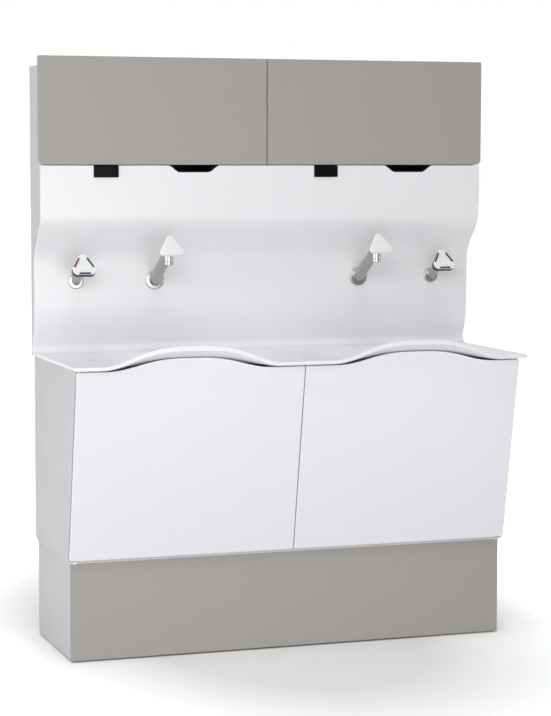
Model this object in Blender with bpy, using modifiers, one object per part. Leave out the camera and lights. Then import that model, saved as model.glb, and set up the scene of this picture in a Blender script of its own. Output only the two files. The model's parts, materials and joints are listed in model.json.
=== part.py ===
"""Two-station surgical scrub sink that stands on the floor against a wall.

A one-piece basin with a waved front lip sits on a cabinet with two leaning, hinged
front panels. Behind it a formed splash panel rises to a shallow cupboard with two
lift-up doors, which holds the soap and brush dispensers.

Units are metres. +X is to the right as seen from the front, +Y points to the wall and
+Z is up. The origin is on the floor, in the middle of the width and of the depth.
Positions in depth are given as distances from the wall.
"""

import math

import bmesh
import bpy
from mathutils import Matrix, Vector

# Fits
CLEARANCE = 0.0003
PIN_PLAY = 0.0005
NOTCH_PLAY = 0.0005
CUT_THROUGH = 0.100

# Basin: a deck with two bowls and a front lip that rises in a wave at each station
DEPTH = 0.655
DECK_WIDTH = 1.580
DECK_TOP = 0.988
DECK_THICKNESS = 0.015
DECK_END = 0.040
DECK_BACK_SETBACK = 0.002
LIP_RISE = 0.060
LIP_HALF_WAVE = 0.300
LIP_WAVE_POWER = 1.55
LIP_FLARE_LENGTH = 0.125
LIP_FLARE_POWER = 1.3
LIP_EDGE_RADIUS = 0.004
LIP_CORNER_RADIUS = 0.018
LIP_OVERHANG = 0.040
LIP_SIDE_OVERHANG = 0.017
BOWL_DEPTH = 0.200
BOWL_DIVIDE = 0.100
BOWL_FRONT_MARGIN = 0.065
BOWL_BACK_MARGIN = 0.015
BOWL_SQUARENESS = 2.4
BOWL_FLOOR_SHARE = 0.30

# Plinth and legs
PLINTH_HEIGHT = 0.3265
PLINTH_SETBACK = 0.0205
PLINTH_SIDE_SETBACK = 0.0102
PLINTH_THICKNESS = 0.018
PLINTH_SIDE_THICKNESS = 0.015
PLINTH_FLOOR_GAP = 0.004
STEEL_SHEET = 0.002
LEG_INSET_X = 0.110
LEG_INSET_BACK = 0.070
LEG_INSET_FRONT = 0.075
LEG_PLATE_RADIUS = 0.045
LEG_PLATE_THICKNESS = 0.006
LEG_PLATE_CONE = 0.012
LEG_SLEEVE_RADIUS = 0.022
LEG_SLEEVE_BOTTOM = 0.090
LEG_SCREW_RADIUS = 0.012
LEG_PAD_RADIUS = 0.034
LEG_PAD_RIM = 0.007
LEG_PAD_HEIGHT = 0.014

# Lower cabinet
CABINET_SIDE_THICKNESS = 0.006
CABINET_BOARD = 0.018
CABINET_BACK_THICKNESS = 0.012
CABINET_SIDE_CHAMFER = 0.012
POST_WIDTH = 0.050
POST_DEPTH = 0.030
POST_GAP = 0.001

# Leaning front panels, whose top edge follows the lip
PANEL_LEAN = math.radians(10.73)
PANEL_THICKNESS = 0.012
PANEL_GAP = 0.003
PANEL_SEAT_GAP = 0.010
PANEL_FLOOR_GAP = 0.0125
PANEL_TOP_GAP = 0.0045
PANEL_ARCH_POWER = 1.3
PANEL_OUTER_RADIUS = 0.010
PANEL_INNER_RADIUS = 0.006
PANEL_LAND = 0.003
PANEL_REBATE_HEIGHT = 0.012
PANEL_REBATE_END = 0.030
PIVOT_INSET = 0.0065
PIVOT_PIN_RADIUS = 0.0025
PIVOT_PIN_LENGTH = 0.018
PIVOT_BORE_DEPTH = 0.024
PIVOT_PLATE_GAP = 0.0024
PIVOT_PLATE_THICKNESS = 0.0024
PIVOT_PLATE_INNER = 0.022
PIVOT_PLATE_OUTER = 0.005
PIVOT_LEAF_WIDTH = 0.014
PIVOT_DECK_DEPTH = 0.007

# Drains
DRAIN_PLAY = 0.0015
DRAIN_FLANGE_RADIUS = 0.038
DRAIN_FLANGE_THICKNESS = 0.003
DRAIN_FLANGE_SLOPE = 0.0015
DRAIN_NECK_RADIUS = 0.0215
DRAIN_NECK_LENGTH = 0.052
DRAIN_WALL = 0.003
DRAIN_HOLE_RADIUS = 0.0038
DRAIN_HOLE_CIRCLE = 0.0115
DRAIN_HOLES = 6
TRAP_RADIUS = 0.020
TRAP_BEND = 0.048
TRAP_DROP = 0.100
TRAP_RISE = 0.007

# Splash panel, from its foot on the deck to its top edge under the doors
SPLASH_SIDE_OVERHANG = 0.005
SPLASH_THICKNESS = 0.012
SPLASH_FOOT = 0.085
SPLASH_DRIFT = 0.030
SPLASH_DRIFT_HEIGHT = 0.152
SPLASH_CURVE_START = 0.312
SPLASH_CURVE_HEIGHT = 0.155
SPLASH_STEP = 0.099
SPLASH_BAND = 0.1695
SPLASH_COVE = 0.020
SPLASH_COVE_EDGE = 0.0015

# Upper housing
HOUSING_SIDE_SETBACK = 0.0135
HOUSING_SIDE_THICKNESS = 0.012
HOUSING_BOARD = 0.016
HOUSING_BACK_THICKNESS = 0.010
SHELF_BELOW_DOOR = 0.070
SHELF_THICKNESS = 0.012

# Lift-up doors
DOOR_SIDE_OVERHANG = 0.005
DOOR_GAP = 0.003
DOOR_SPLASH_GAP = 0.0025
DOOR_HEIGHT = 0.361
DOOR_THICKNESS = 0.018
DOOR_RADIUS = 0.018
DOOR_OVER_HOUSING = 0.029
HINGE_HEIGHT = 0.006
HINGE_ROD_RADIUS = 0.0025
HINGE_BARREL_RADIUS = 0.0045
HINGE_ARM_HEIGHT = 0.0072
HINGE_ARM_INSET = 0.0015
HINGE_LEAF_LENGTH = 0.036
HINGE_LEAF_THICKNESS = 0.0018
HINGE_LEAF_SETBACK = 0.007
HINGE_KNUCKLE = 0.030
HINGE_KNUCKLE_GAP = 0.004
HINGE_INSET = 0.060

# Dispensers: one soap outlet and one brush slot per station, repeated along the panel
DISPENSER_SPREAD = 0.035
SOAP_ASIDE = -0.195
SOAP_NOTCH_WIDTH = 0.087
SOAP_NOTCH_DEPTH = 0.040
SOAP_BODY_DEPTH = 0.105
SOAP_BODY_HEIGHT = 0.130
SOAP_SNOUT_OUT = 0.006
SOAP_SNOUT_ROOT = 0.006
SOAP_NOZZLE_RADIUS = 0.002
SOAP_NOZZLE_INSET = 0.003
SOAP_NOZZLE_DEPTH = 0.010
BOTTLE_RADIUS = 0.040
BOTTLE_HEIGHT = 0.185
BOTTLE_BASE_BEVEL = 0.008
BOTTLE_NECK_RADIUS = 0.016
BOTTLE_NECK_LENGTH = 0.016
BOTTLE_SHOULDER = 0.040
BRUSH_ASIDE = 0.113
BRUSH_NOTCH_TOP = 0.186
BRUSH_NOTCH_BOTTOM = 0.100
BRUSH_NOTCH_DEPTH = 0.023
BRUSH_BODY_DEPTH = 0.090
BRUSH_BODY_HEIGHT = 0.300
BRUSH_WALL = 0.003
BRUSH_LIP = 0.006
BRUSH_FLARE_SHARE = 0.94
BRUSH_SLOT_SHOULDER = 0.022
BRUSH_MOUTH_SETBACK = 0.003
BRUSH_MOUTH_DEPTH = 0.021

# Spouts and controls
TAP_ABOVE_DECK = 0.2445
TAP_TILT = math.radians(30.0)
FLANGE_THICKNESS = 0.006
FLANGE_ROUND = 0.004
SPOUT_FLANGE_RADIUS = 0.033
SPOUT_REACH = 0.232
SPOUT_ROOT_RADIUS = 0.0205
SPOUT_ROOT_LENGTH = 0.012
SPOUT_END_RADIUS = 0.0180
SPOUT_TAIL = 0.030
SPOUT_HEAD_SIDE = 0.100
SPOUT_HEAD_CORNER = 0.013
SPOUT_HEAD_THICKNESS = 0.012
SPOUT_HEAD_DROP = 0.002
HEAD_BEVEL = 0.002
AERATOR_RADIUS = 0.0165
AERATOR_LENGTH = 0.0365
AERATOR_BEVEL = 0.0025
AERATOR_SEAT = 0.006
AERATOR_SETBACK = 0.0198
CONTROL_ASIDE = 0.278
CONTROL_FLANGE_RADIUS = 0.027
CONTROL_REACH = 0.110
CONTROL_HEAD_SIDE = 0.108
CONTROL_HEAD_CORNER = 0.018
CONTROL_HEAD_THICKNESS = 0.020
CONTROL_HEAD_DROP = 0.010
CONTROL_ROOT_RADIUS = 0.0155
CONTROL_END_RADIUS = 0.0130
CONTROL_TAIL = 0.022
KEY_LENGTH = 0.040
KEY_WIDTH = 0.006
KEY_FROM_EDGE = 0.0042
KEY_HEIGHT = 0.007
KEY_PROUD = 0.0028
KEY_TRAVEL = 0.0015
KEY_PLAY = 0.00035

# Water and power behind the splash panel
VALVE_RADIUS = 0.024
VALVE_LENGTH = 0.160
VALVE_BOSS_RADIUS = 0.015
VALVE_BOSS_LENGTH = 0.038
VALVE_BRACKET_WIDTH = 0.040
VALVE_BRACKET_HEIGHT = 0.020
CONTROL_BOX_WIDTH = 0.180
CONTROL_BOX_HEIGHT = 0.120
CONTROL_BOX_DEPTH = 0.050
CONTROL_BOX_EDGE = 0.004

# Facets of the curved shapes
BASIN_STEPS_X = 50
BASIN_STEPS_Y = 22
ARCH_STEPS = 26
ROUND_STEPS = 20
FINE_STEPS = 12
HOLE_STEPS = 10
CORNER_STEPS = 4
EDGE_STEPS = 2
FLANK_STEPS = 6
DRIFT_STEPS = 5
CURVE_STEPS = 14
TRAP_STEPS = 6
PIPE_RESOLUTION = 3
FIT_ROUNDS = 8
SHARP_ANGLE = math.radians(35)

# Levels and places that follow from the sizes above
SIDES = {"left": -1, "right": 1}
BACK_Y = DEPTH / 2
STATION_PITCH = DECK_WIDTH / 2 - DECK_END
STATION_X = STATION_PITCH / 2
CREST_X = DECK_WIDTH / 4
CABINET_WIDTH = DECK_WIDTH - 2 * LIP_SIDE_OVERHANG
CABINET_INNER_X = CABINET_WIDTH / 2 - CABINET_SIDE_THICKNESS
PLINTH_WIDTH = CABINET_WIDTH - 2 * PLINTH_SIDE_SETBACK
SPLASH_WIDTH = DECK_WIDTH + 2 * SPLASH_SIDE_OVERHANG
HOUSING_WIDTH = SPLASH_WIDTH - 2 * HOUSING_SIDE_SETBACK
HOUSING_INNER_X = HOUSING_WIDTH / 2 - HOUSING_SIDE_THICKNESS
DOORS_WIDTH = SPLASH_WIDTH + 2 * DOOR_SIDE_OVERHANG
DECK_UNDERSIDE = DECK_TOP - DECK_THICKNESS
DECK_BACK = SPLASH_FOOT - SPLASH_THICKNESS + DECK_BACK_SETBACK
CABINET_TOP = DECK_UNDERSIDE - CLEARANCE
CABINET_FLOOR_TOP = PLINTH_HEIGHT + CLEARANCE + CABINET_BOARD
PANEL_BOTTOM = PLINTH_HEIGHT + PANEL_FLOOR_GAP
PANEL_TOP = DECK_UNDERSIDE - PANEL_TOP_GAP
PANEL_FOOT = DEPTH - LIP_OVERHANG - (DECK_UNDERSIDE - PANEL_BOTTOM) * math.tan(PANEL_LEAN)
PANEL_HALF = CABINET_WIDTH / 2
PIVOT_X = PANEL_HALF - PIVOT_INSET
PLINTH_DEPTH = PANEL_FOOT - PLINTH_SETBACK
BOWL_WIDTH = STATION_PITCH - BOWL_DIVIDE
BOWL_BACK = SPLASH_FOOT + SPLASH_COVE + BOWL_BACK_MARGIN
BOWL_FRONT = DEPTH - BOWL_FRONT_MARGIN
BOWL_LENGTH = BOWL_FRONT - BOWL_BACK
BOWL_FROM_WALL = (BOWL_FRONT + BOWL_BACK) / 2
BOWL_FLOOR = DECK_TOP - BOWL_DEPTH
SPLASH_BOTTOM = DECK_TOP + CLEARANCE
SPLASH_COVE_TOP = SPLASH_BOTTOM + SPLASH_COVE
SPLASH_RECESS = SPLASH_FOOT + SPLASH_DRIFT
SPLASH_DRIFT_TOP = DECK_TOP + SPLASH_DRIFT_HEIGHT
SPLASH_CURVE_BOTTOM = DECK_TOP + SPLASH_CURVE_START
SPLASH_CURVE_TOP = SPLASH_CURVE_BOTTOM + SPLASH_CURVE_HEIGHT
SPLASH_TOP = SPLASH_CURVE_TOP + SPLASH_BAND
DOOR_FRONT = SPLASH_RECESS + SPLASH_STEP
DOOR_BACK = DOOR_FRONT - DOOR_THICKNESS
DOOR_BOTTOM = SPLASH_TOP + DOOR_SPLASH_GAP
DOOR_TOP = DOOR_BOTTOM + DOOR_HEIGHT
HOUSING_TOP = DOOR_TOP - DOOR_OVER_HOUSING
HOUSING_FRONT = DOOR_BACK - CLEARANCE
HINGE_Z = HOUSING_TOP + HINGE_HEIGHT
SHELF_TOP = DOOR_BOTTOM - SHELF_BELOW_DOOR
TAP_HEIGHT = DECK_TOP + TAP_ABOVE_DECK
CONTROL_X = STATION_X + CONTROL_ASIDE
HEAD_FACE_X_ROTATION = math.pi / 2 - TAP_TILT
WALL_FACE_X_ROTATION = math.pi / 2
PANEL_FACE_X_ROTATION = math.pi / 2 + PANEL_LEAN


def clear_scene():
    for obj in list(bpy.data.objects):
        bpy.data.objects.remove(obj)


def new_collection(name):
    collection = bpy.data.collections.new(name)
    bpy.context.scene.collection.children.link(collection)
    return collection


clear_scene()
PARTS = new_collection("surgical_scrub_sink")
CUTTERS = new_collection("cutters")


def finish(name, colour, roughness, metallic=0.0):
    material = bpy.data.materials.new(name)
    material.use_nodes = True
    shader = material.node_tree.nodes["Principled BSDF"]
    shader.inputs["Base Color"].default_value = (*colour, 1.0)
    shader.inputs["Roughness"].default_value = roughness
    shader.inputs["Metallic"].default_value = metallic
    material.diffuse_color = (*colour, 1.0)
    return material


WHITE_SURFACE = finish("white_solid_surface", (0.82, 0.83, 0.84), 0.25)
WHITE_PANEL = finish("white_gloss_panel", (0.84, 0.85, 0.87), 0.18)
WARM_GREY = finish("warm_grey_lacquer", (0.36, 0.35, 0.33), 0.45)
LIGHT_GREY = finish("light_grey_laminate", (0.60, 0.61, 0.62), 0.50)
PALE_EDGE = finish("pale_grey_board", (0.66, 0.66, 0.66), 0.50)
DARK_STEEL = finish("dark_painted_steel", (0.05, 0.05, 0.05), 0.60)
BLACK_PLASTIC = finish("black_gloss_plastic", (0.012, 0.012, 0.013), 0.15)
SATIN_CHROME = finish("satin_chrome", (0.62, 0.62, 0.62), 0.25, 1.0)
WHITE_PLASTIC = finish("white_plastic", (0.85, 0.85, 0.86), 0.30)
BOTTLE_PLASTIC = finish("bottle_plastic", (0.75, 0.78, 0.80), 0.35)
STEEL = finish("stainless_steel", (0.55, 0.55, 0.55), 0.30, 1.0)
BRASS = finish("brass", (0.60, 0.45, 0.20), 0.30, 1.0)
GREY_PIPE = finish("grey_pipe", (0.42, 0.43, 0.44), 0.50)
KEY_RED = finish("key_red", (0.60, 0.03, 0.04), 0.35)
KEY_GREEN = finish("key_green", (0.05, 0.40, 0.10), 0.35)
KEY_BLUE = finish("key_blue", (0.05, 0.12, 0.55), 0.35)
KEY_DARK = finish("key_dark", (0.06, 0.06, 0.065), 0.35)


def at(x, from_wall, z):
    """World point at a side position, a distance from the wall and a height."""
    return Vector((x, BACK_Y - from_wall, z))


def place(obj, location=(0, 0, 0), x_rotation=0.0):
    obj.location = location
    obj.rotation_euler = (x_rotation, 0.0, 0.0)
    return obj


def as_part(name, mesh, material, smooth=False):
    obj = bpy.data.objects.new(name, mesh)
    PARTS.objects.link(obj)
    mesh.materials.append(material)
    if smooth:
        mesh.shade_smooth()
        mesh.set_sharp_from_angle(angle=SHARP_ANGLE)
    return obj


def as_helper(obj):
    """Moves an object out of the parts, to serve a Boolean only."""
    PARTS.objects.unlink(obj)
    CUTTERS.objects.link(obj)
    obj.hide_render = True
    obj.display_type = "WIRE"
    return obj


def boolean(obj, other, operation, solver):
    modifier = obj.modifiers.new(f"{operation.lower()} {other.name}", "BOOLEAN")
    modifier.operation = operation
    modifier.object = as_helper(other)
    modifier.solver = solver


def cut(obj, *cutters, solver="EXACT"):
    for cutter in cutters:
        boolean(obj, cutter, "DIFFERENCE", solver)
    return obj


def join(obj, *others, solver="EXACT"):
    for other in others:
        boolean(obj, other, "UNION", solver)
    return obj


def bevel(obj, width, limit="ANGLE"):
    modifier = obj.modifiers.new("rounded edges", "BEVEL")
    modifier.width = width
    modifier.segments = EDGE_STEPS
    modifier.limit_method = limit
    return obj


def block(name, x_range, wall_range, z_range, material):
    """A box between two side positions, two distances from the wall and two heights."""
    low = at(x_range[0], wall_range[1], z_range[0])
    high = at(x_range[1], wall_range[0], z_range[1])
    model = bmesh.new()
    bmesh.ops.create_cube(model, size=1.0)
    bmesh.ops.scale(model, vec=high - low, verts=model.verts)
    mesh = bpy.data.meshes.new(name)
    model.to_mesh(mesh)
    model.free()
    return place(as_part(name, mesh, material), (low + high) / 2)


def meshed(curve_object, name, material):
    """The solid of a curve as a mesh part, with its caps welded, and the curve removed."""
    bpy.context.view_layer.update()
    graph = bpy.context.evaluated_depsgraph_get()
    mesh = bpy.data.meshes.new_from_object(curve_object.evaluated_get(graph))
    mesh.name = name
    mesh.materials.clear()
    bpy.data.objects.remove(curve_object)
    model = bmesh.new()
    model.from_mesh(mesh)
    bmesh.ops.remove_doubles(model, verts=model.verts, dist=1e-6)
    bmesh.ops.recalc_face_normals(model, faces=model.faces)
    model.to_mesh(mesh)
    model.free()
    return as_part(name, mesh, material, smooth=True)


def curve_holder(name, points, cyclic):
    """An object with one straight-sided spline through the points."""
    curve = bpy.data.curves.new(name, "CURVE")
    spline = curve.splines.new("POLY")
    spline.points.add(len(points) - 1)
    for point, position in zip(spline.points, points):
        point.co = (*position, 1.0)
    spline.use_cyclic_u = cyclic
    holder = bpy.data.objects.new(f"{name}_curve", curve)
    PARTS.objects.link(holder)
    return holder


def plate(name, outline, thickness, material):
    """A flat outline in its own XY plane, as thick on both sides of that plane."""
    holder = curve_holder(name, [(x, y, 0.0) for x, y in outline], cyclic=True)
    holder.data.dimensions = "2D"
    holder.data.fill_mode = "BOTH"
    holder.data.extrude = thickness / 2
    return meshed(holder, name, material)


def pipe(name, points, radius, material):
    holder = curve_holder(name, points, cyclic=False)
    holder.data.dimensions = "3D"
    holder.data.bevel_depth = radius
    holder.data.bevel_resolution = PIPE_RESOLUTION
    holder.data.use_fill_caps = True
    return meshed(holder, name, material)


def turned(name, profile, material, steps=ROUND_STEPS):
    """A solid of revolution about its own Z, from a profile of (radius, height), top first."""
    mesh = bpy.data.meshes.new(name)
    edges = [(i, i + 1) for i in range(len(profile) - 1)]
    mesh.from_pydata([(radius, 0.0, height) for radius, height in profile], edges, [])
    obj = as_part(name, mesh, material)
    screw = obj.modifiers.new("turn", "SCREW")
    screw.axis = "Z"
    screw.angle = math.tau
    screw.steps = steps
    screw.render_steps = steps
    screw.use_merge_vertices = True
    screw.merge_threshold = 1e-5
    screw.use_smooth_shade = True
    return obj


def rod(name, radius, low, high, material, steps=ROUND_STEPS):
    """A round bar along its own Z, between two heights."""
    return turned(name, [(0, high), (radius, high), (radius, low), (0, low)], material, steps)


def arc(centre, radius, start, stop, steps=CORNER_STEPS):
    """Points on an arc, from one angle to another in degrees."""
    angles = [math.radians(start + (stop - start) * i / steps) for i in range(steps + 1)]
    return [(centre[0] + radius * math.cos(a), centre[1] + radius * math.sin(a)) for a in angles]


def smooth_step(t):
    t = min(max(t, 0.0), 1.0)
    return (1 - math.cos(math.pi * t)) / 2


def wave(x):
    """0 in the middle and near the ends of the lip, 1 at the crest of each half."""
    from_crest = abs(abs(x) - CREST_X) / LIP_HALF_WAVE
    return 1 - smooth_step(from_crest**LIP_WAVE_POWER)


def lip_flare(from_wall):
    """How far the lip has risen at a crest: 0 where the flare starts, 1 at the front edge."""
    along = (from_wall - (DEPTH - LIP_FLARE_LENGTH)) / LIP_FLARE_LENGTH
    return max(along, 0.0) ** LIP_FLARE_POWER


def bowl_drop(x, from_wall):
    """How deep the bowl of the nearer station is, as a share of its full depth."""
    across = abs(abs(x) - STATION_X) / (BOWL_WIDTH / 2)
    along = abs(from_wall - BOWL_FROM_WALL) / (BOWL_LENGTH / 2)
    radius = (across**BOWL_SQUARENESS + along**BOWL_SQUARENESS) ** (1 / BOWL_SQUARENESS)
    share = min(max((radius - BOWL_FLOOR_SHARE) / (1 - BOWL_FLOOR_SHARE), 0.0), 1.0)
    return 1 - share * share * (3 - 2 * share)


def basin_height(x, from_wall):
    rise = LIP_RISE * lip_flare(from_wall) * wave(x)
    return DECK_TOP + rise - BOWL_DEPTH * bowl_drop(x, from_wall)


def panel_front(z):
    """Distance from the wall of the leaning front face at a height."""
    return PANEL_FOOT + (z - PANEL_BOTTOM) * math.tan(PANEL_LEAN)


def panel_arch():
    """How much higher the front panels reach at a crest, where their land follows the lip."""
    rise = 0.0
    for _ in range(FIT_ROUNDS):
        land_back = panel_front(PANEL_TOP + rise) - PANEL_LAND / math.cos(PANEL_LEAN)
        rise = LIP_RISE * lip_flare(land_back)
    return rise


def panel_height(x):
    """Length of the front panel up its lean, at a side position."""
    top = PANEL_TOP + panel_arch() * wave(x) ** PANEL_ARCH_POWER
    return (top - PANEL_BOTTOM) / math.cos(PANEL_LEAN)


def splash_front(z):
    """Distance from the wall of the splash panel's front face at a height."""
    upper = (z - SPLASH_CURVE_BOTTOM) / SPLASH_CURVE_HEIGHT
    lower = (SPLASH_DRIFT_TOP - z) / (SPLASH_DRIFT_TOP - SPLASH_COVE_TOP)
    drift = SPLASH_DRIFT * min(max(lower, 0.0), 1.0) ** 2
    return SPLASH_RECESS + SPLASH_STEP * smooth_step(upper) - drift


def splash_line():
    """Points of the splash panel's front face, from the top of its cove to its top edge."""
    bends = (
        (SPLASH_COVE_TOP, SPLASH_DRIFT_TOP, DRIFT_STEPS),
        (SPLASH_CURVE_BOTTOM, SPLASH_CURVE_TOP, CURVE_STEPS),
    )
    heights = [SPLASH_TOP]
    for low, high, steps in bends:
        heights += [low + (high - low) * i / steps for i in range(steps + 1)]
    return [(splash_front(z), z) for z in sorted(heights)]


def side_profile(name, outline, thickness, x, material):
    """A plate that stands across the width, from an outline of (distance from wall, height)."""
    obj = plate(name, [(BACK_Y - from_wall, z) for from_wall, z in outline], thickness, material)
    across = Matrix(((0, 0, 1, 0), (1, 0, 0, 0), (0, 1, 0, 0), (0, 0, 0, 1)))
    obj.matrix_world = Matrix.Translation((x, 0, 0)) @ across
    return obj


def make_leg(name, x, from_wall):
    cone_top = PLINTH_HEIGHT - LEG_PLATE_THICKNESS
    profile = [
        (0, PLINTH_HEIGHT),
        (LEG_PLATE_RADIUS, PLINTH_HEIGHT),
        (LEG_PLATE_RADIUS, cone_top),
        (LEG_SLEEVE_RADIUS, cone_top - LEG_PLATE_CONE),
        (LEG_SLEEVE_RADIUS, LEG_SLEEVE_BOTTOM),
        (LEG_SCREW_RADIUS, LEG_SLEEVE_BOTTOM),
        (LEG_SCREW_RADIUS, LEG_PAD_HEIGHT),
        (LEG_PAD_RADIUS, LEG_PAD_RIM),
        (LEG_PAD_RADIUS, 0),
        (0, 0),
    ]
    return place(turned(name, profile, DARK_STEEL, FINE_STEPS), at(x, from_wall, 0))


def make_legs():
    leg_x = PLINTH_WIDTH / 2 - LEG_INSET_X
    for side, sign in SIDES.items():
        make_leg(f"leg_rear_{side}", sign * leg_x, LEG_INSET_BACK)
        make_leg(f"leg_front_{side}", sign * leg_x, PLINTH_DEPTH - LEG_INSET_FRONT)


def make_plinth_front():
    """A folded steel tray, open towards the wall."""
    half = PLINTH_WIDTH / 2
    back = PLINTH_DEPTH - PLINTH_THICKNESS
    z_range = (PLINTH_FLOOR_GAP, PLINTH_HEIGHT)
    front = block("plinth_front", (-half, half), (back, PLINTH_DEPTH), z_range, WARM_GREY)
    inside = block(
        "plinth_front_hollow",
        (-half + STEEL_SHEET, half - STEEL_SHEET),
        (back - PLINTH_THICKNESS, PLINTH_DEPTH - STEEL_SHEET),
        (PLINTH_FLOOR_GAP + STEEL_SHEET, PLINTH_HEIGHT - STEEL_SHEET),
        WARM_GREY,
    )
    return cut(front, inside)


def make_plinth_side(side, sign):
    outer = PLINTH_WIDTH / 2
    x_range = sorted((sign * (outer - PLINTH_SIDE_THICKNESS), sign * outer))
    wall_range = (0, PLINTH_DEPTH - PLINTH_THICKNESS - CLEARANCE)
    z_range = (PLINTH_FLOOR_GAP, PLINTH_HEIGHT)
    return block(f"plinth_side_{side}", x_range, wall_range, z_range, LIGHT_GREY)


def make_cabinet_floor():
    half = CABINET_INNER_X - CLEARANCE
    z_range = (PLINTH_HEIGHT + CLEARANCE, CABINET_FLOOR_TOP)
    return block("cabinet_floor", (-half, half), (0, PLINTH_DEPTH), z_range, PALE_EDGE)


def make_cabinet_side(side, sign):
    """Upright side with a leaning front edge, which the front panel covers."""
    inset = (PANEL_THICKNESS + PANEL_SEAT_GAP) / math.cos(PANEL_LEAN)
    outline = [
        (CABINET_SIDE_CHAMFER, PANEL_BOTTOM),
        (panel_front(PANEL_BOTTOM) - inset, PANEL_BOTTOM),
        (panel_front(CABINET_TOP) - inset, CABINET_TOP),
        (0, CABINET_TOP),
        (0, PANEL_BOTTOM + CABINET_SIDE_CHAMFER),
    ]
    x = sign * (CABINET_WIDTH - CABINET_SIDE_THICKNESS) / 2
    return side_profile(f"cabinet_side_{side}", outline, CABINET_SIDE_THICKNESS, x, LIGHT_GREY)


def make_cabinet_back():
    half = CABINET_INNER_X - CLEARANCE
    z_range = (CABINET_FLOOR_TOP + CLEARANCE, CABINET_TOP)
    back = block("cabinet_back", (-half, half), (0, CABINET_BACK_THICKNESS), z_range, LIGHT_GREY)
    for side, sign in SIDES.items():
        radius = TRAP_RADIUS + PIN_PLAY
        hole = rod(f"waste_hole_{side}", radius, -CUT_THROUGH, CUT_THROUGH, LIGHT_GREY)
        middle = at(sign * STATION_X, 0, trap_outlet_height())
        cut(back, place(hole, middle, WALL_FACE_X_ROTATION))
    return back


def make_cabinet_post():
    """Leaning post behind the gap of the two front panels."""
    bottom = CABINET_FLOOR_TOP + CLEARANCE
    gap = (PANEL_THICKNESS + POST_GAP) / math.cos(PANEL_LEAN)
    outline = [
        (panel_front(bottom) - gap - POST_DEPTH, bottom),
        (panel_front(bottom) - gap, bottom),
        (panel_front(CABINET_TOP) - gap, CABINET_TOP),
        (panel_front(CABINET_TOP) - gap - POST_DEPTH, CABINET_TOP),
    ]
    return side_profile("cabinet_post", outline, POST_WIDTH, 0, DARK_STEEL)


def arch_line(start, stop):
    """Side positions along a front panel's arched top edge, from one to another."""
    return [start + (stop - start) * i / ARCH_STEPS for i in range(ARCH_STEPS + 1)]


def panel_outline():
    """Outline of the right front panel in its own plane, as side position and length up."""
    inner = PANEL_GAP / 2
    small = PANEL_INNER_RADIUS
    large = PANEL_OUTER_RADIUS
    outline = arc((inner + small, small), small, 180, 270)
    outline += arc((PANEL_HALF - large, large), large, 270, 360)
    outline += arc((PANEL_HALF - small, panel_height(PANEL_HALF) - small), small, 0, 90)
    outline += [(x, panel_height(x)) for x in arch_line(PANEL_HALF - 2 * small, inner)]
    return outline


def panel_rebate(side, sign):
    """Cutter along the back of the arched edge, so that only a thin land reaches up to the lip."""
    start = PANEL_GAP / 2 + PANEL_REBATE_END
    line = arch_line(start, PIVOT_X - PANEL_REBATE_END)
    outline = [(x, panel_height(x) - PANEL_REBATE_HEIGHT) for x in line]
    outline += [(x, panel_height(x) + PANEL_REBATE_HEIGHT) for x in reversed(line)]
    outline = [(sign * (x - PIVOT_X), y) for x, y in outline]
    cutter = plate(f"panel_rebate_{side}", outline, PANEL_THICKNESS, WHITE_PANEL)
    return place(cutter, (0, 0, -PANEL_LAND))


def make_front_panel(side, sign):
    """A plate with its origin at the foot of the pivot axis, in mid thickness."""
    outline = [(sign * (x - PIVOT_X), y) for x, y in panel_outline()]
    panel = plate(f"front_panel_{side}", outline, PANEL_THICKNESS, WHITE_PANEL)
    cutters = [panel_rebate(side, sign)]
    for end, middle in (("lower", 0.0), ("upper", panel_height(PIVOT_X))):
        low, high = middle - PIVOT_BORE_DEPTH, middle + PIVOT_BORE_DEPTH
        radius = PIVOT_PIN_RADIUS + PIN_PLAY
        bore = rod(f"pivot_bore_{end}_{side}", radius, low, high, WHITE_PANEL, FINE_STEPS)
        cutters.append(place(bore, (0, 0, 0), -math.pi / 2))
    for cutter in cutters:
        cutter.parent = panel
    cut(panel, *cutters, solver="MANIFOLD")
    return place(panel, pivot_foot(sign), PANEL_FACE_X_ROTATION)


def pivot_foot(sign):
    """The point where the pivot axis leaves the bottom edge of a front panel."""
    half = PANEL_THICKNESS / 2
    from_wall = PANEL_FOOT - half * math.cos(PANEL_LEAN)
    return at(sign * PIVOT_X, from_wall, PANEL_BOTTOM + half * math.sin(PANEL_LEAN))


def pivot_pin(name, sign, low, high, radius):
    """A pin on a front panel's pivot axis, between two lengths up from the bottom edge."""
    pin = rod(name, radius, low, high, STEEL, FINE_STEPS)
    return place(pin, pivot_foot(sign), PANEL_LEAN)


def make_lower_pivot(side, sign):
    """Steel bracket on the front edge of the cabinet floor, with a pin in the panel's bore."""
    inner = PIVOT_X - PIVOT_PLATE_INNER
    back = PLINTH_DEPTH + CLEARANCE
    top = PANEL_BOTTOM - PIVOT_PLATE_GAP
    middle = top - PIVOT_PLATE_THICKNESS / 2
    tongue_x = sorted((sign * inner, sign * (PIVOT_X + PIVOT_PLATE_OUTER)))
    tongue_z = (top - PIVOT_PLATE_THICKNESS, top)
    leaf_x = sorted((sign * inner, sign * (inner + PIVOT_LEAF_WIDTH)))
    leaf_z = (PLINTH_HEIGHT + 2 * CLEARANCE, middle)
    front = PANEL_FOOT - CLEARANCE
    bracket = block(f"panel_pivot_lower_{side}", tongue_x, (back, front), tongue_z, STEEL)
    leaf_front = back + PIVOT_PLATE_THICKNESS
    leaf = block(f"pivot_leaf_{side}", leaf_x, (back, leaf_front), leaf_z, STEEL)
    root = middle - PANEL_BOTTOM
    pin = pivot_pin(f"pivot_pin_{side}", sign, root, PIVOT_PIN_LENGTH, PIVOT_PIN_RADIUS)
    return join(bracket, leaf, pin)


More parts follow.
